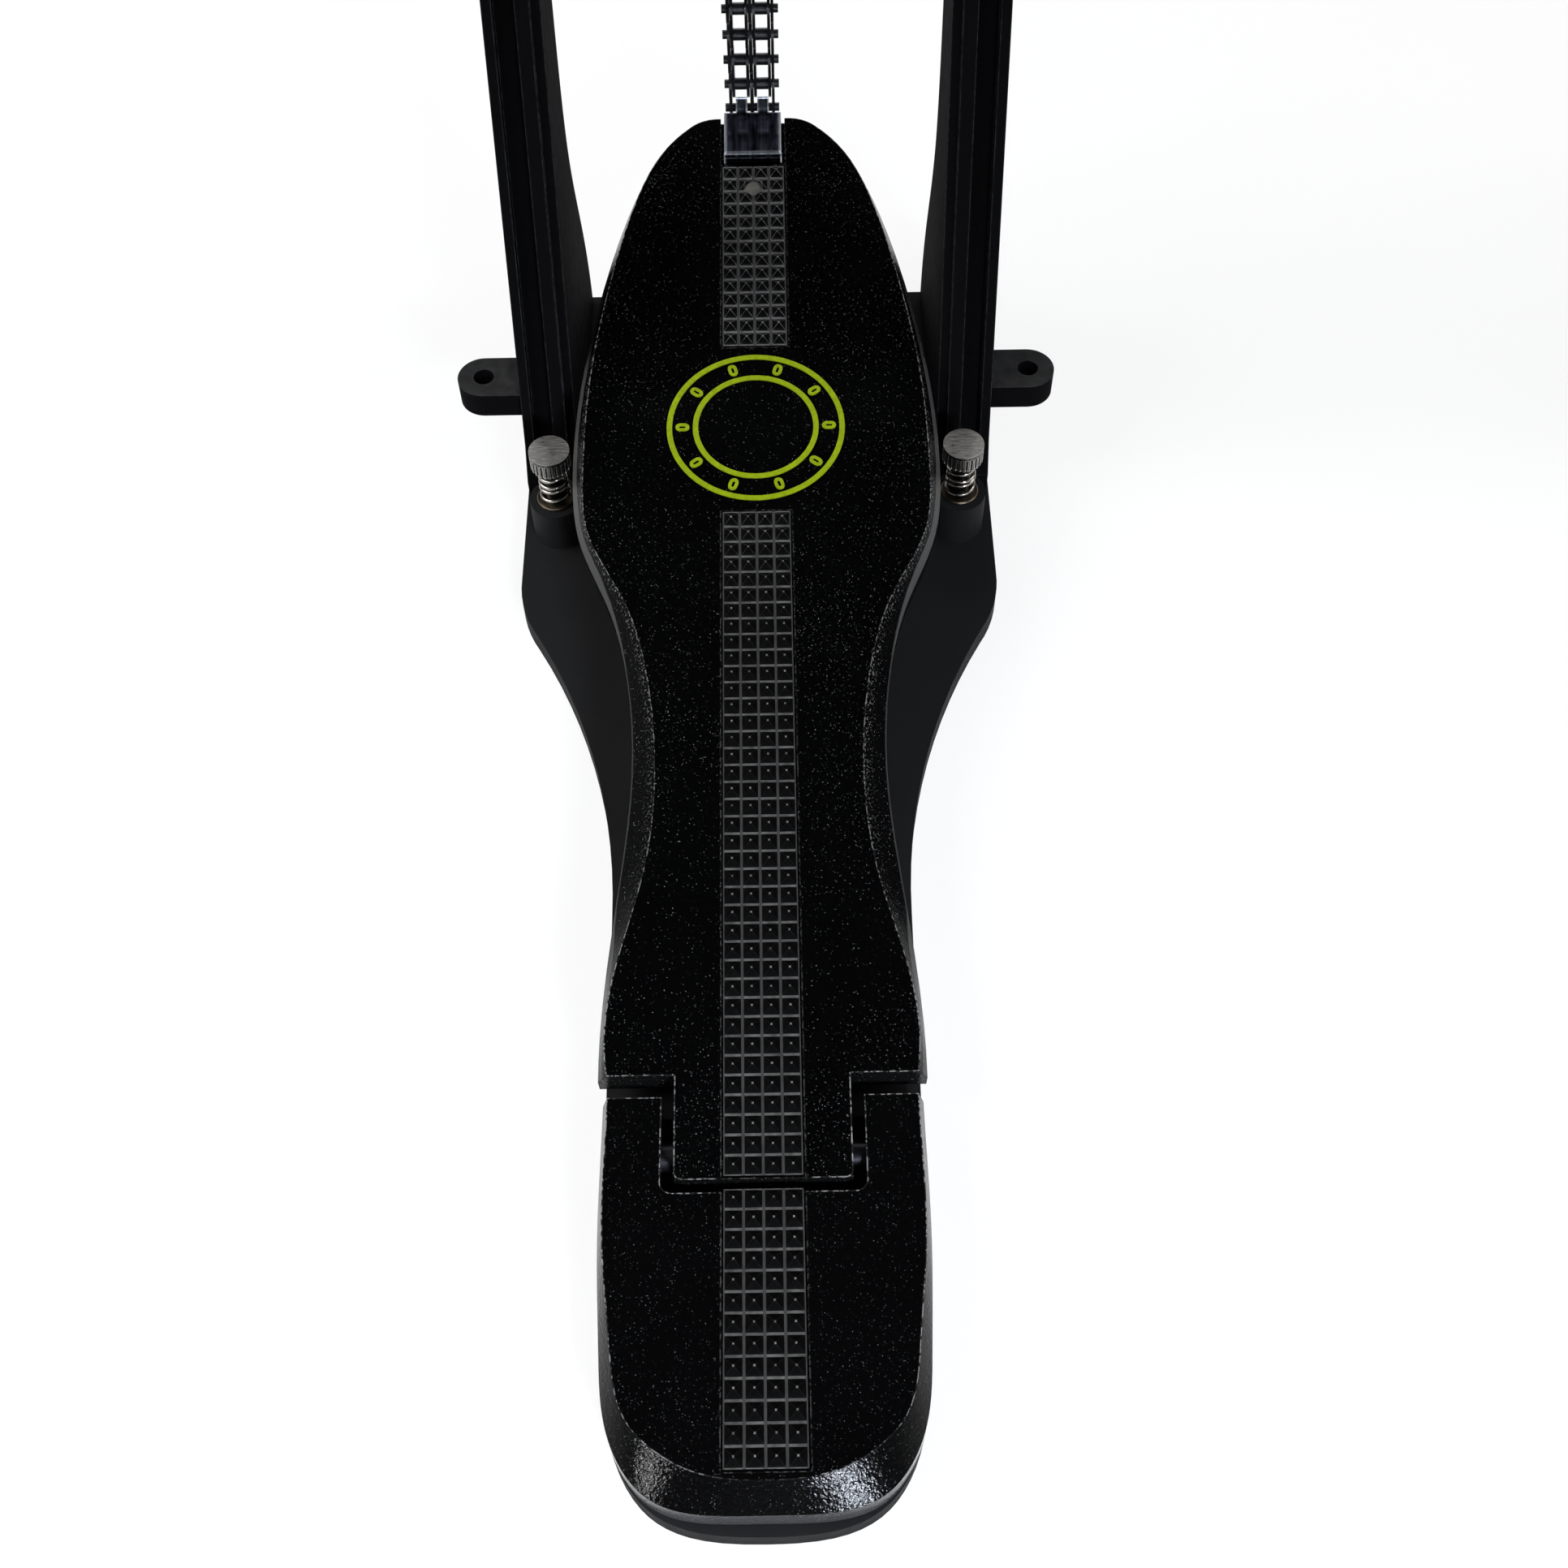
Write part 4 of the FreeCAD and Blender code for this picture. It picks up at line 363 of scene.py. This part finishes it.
def clip_chrome():
    """Dark polished cap with fine streaks and a painted highlight on its rim; painted shade on the plate
    behind the cap's back edge and under its ledge; the screw behind it is dull and dusty.
    """
    f = Finish("clip_chrome")
    along = f.along(f.place, ALONG)
    behind = f.remap(along, *CLIP_SCREW_END)
    raised = f.remap(f.along(f.place, BOARD_UP), CLIP_LEDGE, CLIP_LEDGE + MASK_EDGE)
    ahead = f.remap(along, CLIP_LEDGE_END, CLIP_LEDGE_END + MASK_EDGE)
    onward = f.remap(along, CLIP_CAP_BACK - MASK_EDGE, CLIP_CAP_BACK)
    cap = f.product(onward, f.maths("MAXIMUM", raised, ahead))
    # painted highlight: the cap's sharp edges in near-white, hardly metal
    rim = f.product(f.edges(0.0009, 0.01, 0.08), cap)

    lines = f.streaks(1500.0, (1.0, 0.06, 0.06))
    plated = f.mix(f.remap(lines, 0.35, 0.65), (0.05, 0.068, 0.105), (0.32, 0.37, 0.45))
    plated = f.mix(rim, plated, (0.9, 0.92, 0.94))
    # painted shade where the cap is not: on the plate behind its back edge and low under the ledge
    plated = f.mix(cap, (0.012, 0.012, 0.014), plated)
    dull = f.mix(f.noise(1200.0, 3.0), (0.05, 0.048, 0.042), (0.12, 0.115, 0.1))
    f.colour(f.mix(behind, plated, dull))
    bare = f.maths("MAXIMUM", behind, rim)
    f.join(f.remap(bare, 0.0, 1.0, 1.0, 0.1), f.surface.inputs["Metallic"])
    f.roughness(f.remap(behind, 0.0, 1.0, 0.12, 0.7))
    f.bump(lines, strength=0.04, depth=0.00004)
    return f.material


def knurled_nickel():
    """Turned top, and a grooved rim in painted shade with painted highlights on its sharp edges."""
    f = Finish("knurled_nickel")
    f.put(Metallic=1.0)
    lines = f.streaks(3000.0, (0.12, 1.0, 1.0))
    worn = f.mix(f.remap(lines, 0.36, 0.64), (0.36, 0.35, 0.325), (0.70, 0.685, 0.645))
    # grooved rim: dark as painted shade, with painted highlights on its sharp edges
    side = f.mix(f.edges(0.0003, 0.015, 0.1), (0.03, 0.029, 0.027), (0.95, 0.935, 0.89))
    f.colour(f.mix(f.facing(UP, 0.5, 0.9), side, worn))
    f.roughness(f.remap(lines, 0.3, 0.7, 0.26, 0.42))
    f.bump(lines, strength=0.08, depth=0.00004)
    return f.material


def wool_felt():
    """Pressed wool: pale, matt, with short tangled fibres."""
    f = Finish("wool_felt")
    f.put(Roughness=0.95, Specular_IOR_Level=0.15, Sheen_Weight=0.4, Sheen_Roughness=0.6)
    cloud = f.remap(f.noise(70.0, 5.0, 0.6), 0.3, 0.7)
    f.colour(f.mix(cloud, (0.60, 0.575, 0.51), (0.80, 0.78, 0.72)))
    f.bump(f.noise(900.0, 4.0, 0.7), strength=0.7, depth=0.0005)
    return f.material


def ring_paint():
    """Yellow-green paint, slightly patchy."""
    f = Finish("ring_paint")
    f.put(Specular_IOR_Level=0.15, Roughness=0.45)
    patches = f.remap(f.noise(900.0, 3.0), 0.3, 0.7)
    f.colour(f.mix(patches, (0.157, 0.219, 0.0013), (0.222, 0.294, 0.0024)))
    f.bump(f.noise(1200.0), strength=0.25, depth=0.0001)
    return f.material


# Heights along the board's upright, and the heel's
PIN_HEIGHT = HINGE_Z * math.cos(BOARD_SLOPE)
BOARD_VALLEY = PIN_HEIGHT + BOARD_TOP + TREAD_ABOVE
HEEL_VALLEY = HEEL_TOP + TREAD_ABOVE

SLOT_FINISHES = {
    "sparkle_black": powder_coat("board_coat", 0.045, sparkle=(0.34, 0.34, 0.35),
                                 wall_reflection=(0.004, 0.004, 0.004), foot=PIN_HEIGHT + BOARD_BEVEL_FOOT),
    "charcoal": plain_paint("charcoal_paint", (0.0118, 0.0119, 0.0123), rough=0.6, bump_scale=2400.0,
                            bump_strength=0.25, specular=0.03),
    # satin black: painted highlights on its edges, and dust with a painted sheen on its tops
    "satin_black": plain_paint("satin_black_paint", (0.0022, 0.0022, 0.0026), rough=0.85, bump_scale=1500.0,
                               bump_strength=0.12, specular=0.03,
                               edge=(0.035, 0.035, 0.037), dust=(0.028, 0.028, 0.028)),
    "mat_rubber": plain_paint("mat_rubber", (0.006, 0.006, 0.006), rough=0.8, bump_scale=1300.0,
                              bump_strength=0.5, specular=0.12),
    "bright_steel": metal("bright_steel", (0.62, 0.64, 0.68), 0.11, streaks=0.05),
    "nickel": knurled_nickel(),
    "steel": metal("ground_steel", (0.45, 0.45, 0.46), 0.28, streaks=0.15),
    "chain_black": metal("blackened_chain", (0.075, 0.077, 0.083), 0.28, metallic=0.9),
    "cast_grey": metal("satin_alloy", (0.2, 0.2, 0.21), 0.45, metallic=0.9),
    "felt": wool_felt(),
}
# the heel's upright walls carry a light grey painted reflection of the floor
HEEL_COAT = powder_coat("heel_coat", 0.12, sparkle=(0.16, 0.16, 0.165), wall_reflection=(0.05, 0.05, 0.05))
DARK_PIN = metal("dark_pin", (0.03, 0.03, 0.034), 0.38)
CLIP_CHROME = clip_chrome()
RING_PAINT = ring_paint()
BRASS = metal("dull_brass", (0.16, 0.13, 0.095), 0.35)
COIL_STEEL = metal("coil_steel", (0.36, 0.34, 0.31), 0.22)

# Nodes with a finish of their own; the others take their slot's
NODE_FINISHES = {}
for side, pedal_x in PEDALS:
    board_tread = tread_rubber(side + "_board_tread_rubber", BOARD_UP, BOARD_VALLEY, pedal_x)
    heel_tread = tread_rubber(side + "_heel_tread_rubber", UP, HEEL_VALLEY, pedal_x)
    NODE_FINISHES[side + "_board_tread"] = board_tread
    NODE_FINISHES[side + "_heel_tread"] = heel_tread
    NODE_FINISHES[side + "_heel_plate"] = HEEL_COAT
    NODE_FINISHES[side + "_hinge_pin"] = DARK_PIN
    NODE_FINISHES[side + "_chain_clip"] = CLIP_CHROME

for part in frame["record"]["subparts"]:
    materials = frame["nodes"][part["node"]].data.materials
    materials.clear()
    materials.append(NODE_FINISHES.get(part["node"]) or SLOT_FINISHES[part["material_slot"]])


def new_piece(name, bm, material, body):
    """Mesh piece that rides on a body."""
    mesh = bpy.data.meshes.new(name)
    bm.normal_update()
    bm.to_mesh(mesh)
    bm.free()
    mesh.materials.append(material)
    piece = bpy.data.objects.new(name, mesh)
    scene.collection.objects.link(piece)
    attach(piece, body)
    return piece


def circle(radius, count):
    """(x, y) points round a circle."""
    steps = [2.0 * math.pi * i / count for i in range(count)]
    return [(radius * math.cos(s), radius * math.sin(s)) for s in steps]


def bridge(bm, loops, smooth=False):
    """Faces between each closed loop of points and the next."""
    for a, b in zip(loops, loops[1:]):
        for i in range(len(a)):
            j = (i + 1) % len(a)
            bm.faces.new((a[i], a[j], b[j], b[i])).smooth = smooth


# Painted ring with drum lugs between the two tread strips
RING_U = 0.1780                # along the board, from the pin
RING_RADII = (0.0215, 0.0152)
RING_LINE = 0.0013
RING_HEIGHT = 0.0003
RING_STEPS = 96
RING_LUGS = 10
LUG_LENGTH = 0.0034
LUG_WIDTH = 0.0022
LUG_HOLE = (0.5, 0.3)          # of the lug's length and width
LUG_END_STEPS = 6


def raised_outline(bm, outer, inner, height):
    """Closed band between two loops of (x, y) points, with a flat top and side walls."""
    loops = []
    for points, z in ((outer, 0.0), (outer, height), (inner, height), (inner, 0.0)):
        loops.append([bm.verts.new((x, y, z)) for x, y in points])
    bridge(bm, loops + loops[:1])


def rounded_bar(length, width, place):
    """Outline of a round-ended bar that points away from the ring's centre."""
    points = []
    half = (length - width) / 2
    radius = width / 2
    for end, start in ((1, -math.pi / 2), (-1, math.pi / 2)):
        for i in range(LUG_END_STEPS + 1):
            angle = start + math.pi * i / LUG_END_STEPS
            point = Vector((end * half + radius * math.cos(angle), radius * math.sin(angle), 0.0))
            points.append((place @ point)[:2])
    return points


def make_ring(side, pedal_x):
    """Two circles with a ring of lugs between them, on the board's top."""
    bm = bmesh.new()
    for radius in RING_RADII:
        outer = circle(radius, RING_STEPS)
        inner = circle(radius - RING_LINE, RING_STEPS)
        raised_outline(bm, outer, inner, RING_HEIGHT)
    middle = (RING_RADII[0] - RING_LINE + RING_RADII[1]) / 2
    hole_length, hole_width = LUG_HOLE
    for i in range(RING_LUGS):
        place = Matrix.Rotation(2.0 * math.pi * i / RING_LUGS, 4, "Z") @ Matrix.Translation((middle, 0, 0))
        outer = rounded_bar(LUG_LENGTH, LUG_WIDTH, place)
        inner = rounded_bar(LUG_LENGTH * hole_length, LUG_WIDTH * hole_width, place)
        raised_outline(bm, outer, inner, RING_HEIGHT)
    bmesh.ops.recalc_face_normals(bm, faces=bm.faces)
    board = Matrix.Translation((pedal_x, 0.0, HINGE_Z)) @ Matrix.Rotation(BOARD_SLOPE, 4, "X")
    bm.transform(board @ Matrix.Translation((0, RING_U, BOARD_TOP)))
    new_piece(side + "_painted_ring", bm, RING_PAINT, side + "_board")


for side, pedal_x in PEDALS:
    make_ring(side, pedal_x)

# Felt heads
HEAD_RADIUS = 0.0219
HEAD_HALF = 0.0229             # half the length, along the beater's stroke
HEAD_ROUND = 0.0055
HEAD_CENTRE = 0.1725           # along the rod, from the axle
HEAD_X = 0.032                 # from the right unit's centre line
HEAD_TURNS = 72
HEAD_CORNER_STEPS = 6
HEAD_FACE_SHARES = (0.0, 0.25, 0.5, 0.65)
HEAD_SIDE_SHARES = (-0.75, -0.5, -0.25, 0.0)
HEAD_DENT = 0.006              # share of the radius
HEAD_DENT_LOBES = 5.0
HEAD_DENT_TWIST = 90.0         # radians per metre of length


def head_profile():
    """(radius, along) points from one face's middle round the rim to the other face's middle."""
    points = [(HEAD_RADIUS * share, -HEAD_HALF) for share in HEAD_FACE_SHARES]
    for i in range(HEAD_CORNER_STEPS + 1):
        angle = math.pi / 2 * i / HEAD_CORNER_STEPS
        radius = HEAD_RADIUS - HEAD_ROUND + HEAD_ROUND * math.sin(angle)
        points.append((radius, -HEAD_HALF + HEAD_ROUND * (1 - math.cos(angle))))
    side = HEAD_HALF - HEAD_ROUND
    points += [(HEAD_RADIUS, side * share) for share in HEAD_SIDE_SHARES]
    return points + [(radius, -along) for radius, along in reversed(points[:-1])]


def make_head(side, x):
    """Felt cylinder with soft corners and a slightly uneven side."""
    bm = bmesh.new()
    rows = []
    profile = head_profile()
    for radius, along in profile[1:-1]:
        row = []
        for i in range(HEAD_TURNS):
            angle = 2.0 * math.pi * i / HEAD_TURNS
            wave = math.sin(HEAD_DENT_LOBES * angle + HEAD_DENT_TWIST * along)
            out = radius * (1.0 - HEAD_DENT * wave ** 2)
            row.append(bm.verts.new((out * math.cos(angle), along, out * math.sin(angle))))
        rows.append(row)
    bridge(bm, rows, smooth=True)
    for row, along in ((rows[0], profile[0][1]), (rows[-1], profile[-1][1])):
        tip = bm.verts.new((0.0, along, 0.0))
        for i in range(HEAD_TURNS):
            bm.faces.new((row[i], row[(i + 1) % HEAD_TURNS], tip)).smooth = True
    bmesh.ops.recalc_face_normals(bm, faces=bm.faces)
    lean = Matrix.Translation(AXLE) @ Matrix.Rotation(BEATER_TILT, 4, "X")
    bm.transform(lean @ Matrix.Translation((x, 0.0, HEAD_CENTRE)))
    head = new_piece(side + "_felt_head", bm, SLOT_FINISHES["felt"], side + "_beater")
    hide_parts(side + "_beater_head")


make_head("left", -HEAD_X)
make_head("right", HEAD_X)

# Coil springs under the spur knobs, each on a brass washer
COIL_RADIUS = 0.0030
COIL_SPREAD = 0.0004           # wider towards the washer
COIL_WIRE = 0.00048
COIL_TURNS = 5.0
COIL_STEPS = 40                # per turn
COIL_CROWDING = 0.045          # draws the turns together at the ends and in the middle
COIL_AHEAD = 0.01              # turns, for the wire's direction
WIRE_SIDES = 10
WASHER_OUTER = 0.0047
WASHER_INNER = 0.0026
WASHER_HEIGHT = 0.0007
WASHER_CHAMFER = 0.3           # of its height
WASHER_STEPS = 48


def coil_point(turn, low, high):
    """Point on the wire's middle line."""
    share = turn / COIL_TURNS
    radius = COIL_RADIUS + COIL_SPREAD * (1.0 - share)
    angle = 2.0 * math.pi * turn
    eased = share - COIL_CROWDING * math.sin(4.0 * math.pi * share)
    return Vector((radius * math.cos(angle), radius * math.sin(angle), low + (high - low) * eased))


def make_coil(side, place, x):
    """Coil standing on its washer, up to the underside of the spur knob."""
    bm = bmesh.new()
    low = SPUR_BOSS_TOP + WASHER_HEIGHT + COIL_WIRE
    high = SPUR_KNOB_UNDER - COIL_WIRE
    rings = []
    for i in range(int(COIL_TURNS * COIL_STEPS) + 1):
        turn = i / COIL_STEPS
        here = coil_point(turn, low, high)
        ahead = coil_point(turn + COIL_AHEAD, low, high) - here
        outward = Vector((here.x, here.y, 0.0)).normalized()
        across = ahead.normalized().cross(outward)
        section = [u * outward + v * across for u, v in circle(COIL_WIRE, WIRE_SIDES)]
        rings.append([bm.verts.new(here + away) for away in section])
    bridge(bm, rings, smooth=True)
    bm.faces.new(rings[0])
    bm.faces.new(rings[-1])
    bmesh.ops.recalc_face_normals(bm, faces=bm.faces)
    bm.transform(Matrix.Translation((x, SPUR_Y, 0.0)))
    coil = new_piece(f"{side}_{place}_spur_coil", bm, COIL_STEEL, side + "_frame")
    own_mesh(coil)
    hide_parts(side + "_spur_springs")


def make_washer(side, place, x):
    """Turned washer with chamfered rims between a coil and its boss."""
    bm = bmesh.new()
    chamfer = WASHER_HEIGHT * WASHER_CHAMFER
    profile = (
        (WASHER_INNER, 0.0),
        (WASHER_OUTER - chamfer, 0.0),
        (WASHER_OUTER, chamfer),
        (WASHER_OUTER, WASHER_HEIGHT - chamfer),
        (WASHER_OUTER - chamfer, WASHER_HEIGHT),
        (WASHER_INNER + chamfer, WASHER_HEIGHT),
        (WASHER_INNER, WASHER_HEIGHT - chamfer),
    )
    rows = []
    for radius, z in profile:
        points = circle(radius, WASHER_STEPS)
        rows.append([bm.verts.new((x + px, SPUR_Y + py, SPUR_BOSS_TOP + z)) for px, py in points])
    bridge(bm, rows + rows[:1])
    bmesh.ops.recalc_face_normals(bm, faces=bm.faces)
    new_piece(f"{side}_{place}_spur_washer", bm, BRASS, side + "_frame")


for side, pedal_x in PEDALS:
    inner_sign = 1.0 if side == "left" else -1.0
    for place, sign in (("inner", inner_sign), ("outer", -inner_sign)):
        make_coil(side, place, pedal_x + sign * SPUR_X)
        make_washer(side, place, pedal_x + sign * SPUR_X)

# Floor
FLOOR_HALF = 6.0
FLOOR_DROP = 0.0002            # below the mats
FLOOR_WHITE = 0.84             # share of plain white that is seen; the rest is lit, with the shadow
FLOOR_CORNERS = ((-1, -1), (1, -1), (1, 1), (-1, 1))


def floor_material():
    """White floor that stays white to the eye and in reflections, and keeps a soft shadow."""
    f = Finish("studio_floor")
    f.put(Base_Color=(0.86, 0.86, 0.86), Roughness=0.9, Specular_IOR_Level=0.1)
    glow = f.add("ShaderNodeEmission")
    blend = f.add("ShaderNodeMixShader")
    f.join(f.product(f.seen(), FLOOR_WHITE), blend.inputs["Fac"])
    f.join(f.surface.outputs["BSDF"], blend.inputs[1])
    f.join(glow.outputs["Emission"], blend.inputs[2])
    f.join(blend.outputs["Shader"], f.tree.nodes["Material Output"].inputs["Surface"])
    return f.material


bm = bmesh.new()
bm.faces.new([bm.verts.new((x * FLOOR_HALF, y * FLOOR_HALF, -FLOOR_DROP)) for x, y in FLOOR_CORNERS])
floor_mesh = bpy.data.meshes.new("studio_floor")
bm.to_mesh(floor_mesh)
bm.free()
floor_mesh.materials.append(floor_material())
floor = bpy.data.objects.new("studio_floor", floor_mesh)
scene.collection.objects.link(floor)

# Light
HORIZON_COLOUR = (0.36, 0.36, 0.37, 1.0)
WALL_COLOUR = (0.26, 0.26, 0.265, 1.0)
WALL_AT = 0.35                 # height of the sky direction, 1 straight up
CEILING_COLOUR = (0.06, 0.06, 0.065, 1.0)
CEILING_AT = 0.75
BACKDROP_COLOUR = (0.82, 0.82, 0.82)
BACKDROP_FADE = 0.12           # height up to which the backdrop is whole
BACKDROP_TOP = 0.36            # and where it has faded into the wall


def studio_world():
    """Grey walls and a dim ceiling that light the object, seen as a pale backdrop round the horizon."""
    world = bpy.data.worlds.new("studio")
    scene.world = world
    world.use_nodes = True
    s = Shading(world.node_tree)
    height = s.along(s.sky, UP)
    ramp = s.add("ShaderNodeValToRGB")
    s.join(height, ramp.inputs["Fac"])
    horizon, ceiling = ramp.color_ramp.elements
    horizon.position = 0.0
    horizon.color = HORIZON_COLOUR
    ceiling.position = CEILING_AT
    ceiling.color = CEILING_COLOUR
    ramp.color_ramp.elements.new(WALL_AT).color = WALL_COLOUR
    backdrop = s.product(s.seen(), s.remap(height, BACKDROP_TOP, BACKDROP_FADE))
    shown = s.mix(backdrop, ramp.outputs["Color"], BACKDROP_COLOUR)
    s.join(shown, s.tree.nodes["Background"].inputs["Color"])


def lamp(name, place, aim, size, power, spread=math.pi):
    """Softbox; a small spread is a grid on it, which keeps its light on what it aims at."""
    data = bpy.data.lights.new(name, "AREA")
    data.shape = "RECTANGLE"
    data.size, data.size_y = size
    data.energy = power
    data.spread = spread
    item = bpy.data.objects.new(name, data)
    item.location = place
    item.rotation_mode = "QUATERNION"
    item.rotation_quaternion = (Vector(aim) - Vector(place)).to_track_quat("-Z", "Y")
    scene.collection.objects.link(item)
    return data


MIDDLE = (-0.2, 0.1, 0.05)
HEEL_END = (-0.31, -0.063, 0.015)
GRID_SPREAD = math.radians(28.0)

studio_world()
lamp("left_softbox", (-1.6, 0.2, 1.3), MIDDLE, size=(1.2, 1.0), power=30.0)
lamp("right_softbox", (1.3, 0.1, 1.3), MIDDLE, size=(1.0, 1.0), power=17.0)
lamp("rear_strip", (-0.2, 1.7, 0.9), MIDDLE, size=(1.6, 0.4), power=9.0)
front = lamp("front_softbox", (0.10, -0.975, 0.68), HEEL_END,
             size=(0.26, 0.13), power=0.6, spread=GRID_SPREAD)
front.color = (0.82, 0.88, 1.0)
lamp("front_left_softbox", (-1.15, -0.71, 0.63), HEEL_END,
     size=(0.16, 0.12), power=0.13, spread=GRID_SPREAD)

# Camera, at the photograph's place
CAMERA_PLACE = (-0.3246, -0.1545, 0.386)
CAMERA_DOWN = math.radians(56.7)
CAMERA_ROLL = 0.0165           # radians
FOCAL_PIXELS = 2400.0
IMAGE_PIXELS = 1932.0
SENSOR = 36.0                  # millimetres

camera_data = bpy.data.cameras.new("camera")
camera_data.sensor_width = SENSOR
camera_data.lens = SENSOR * FOCAL_PIXELS / IMAGE_PIXELS
camera_data.clip_start = 0.01
camera = bpy.data.objects.new("camera", camera_data)
camera.matrix_world = (
    Matrix.Translation(CAMERA_PLACE)
    @ Matrix.Rotation(math.pi / 2 - CAMERA_DOWN, 4, "X")
    @ Matrix.Rotation(-CAMERA_ROLL, 4, "Z")
)
scene.collection.objects.link(camera)
scene.camera = camera
scene.view_settings.view_transform = "Standard"
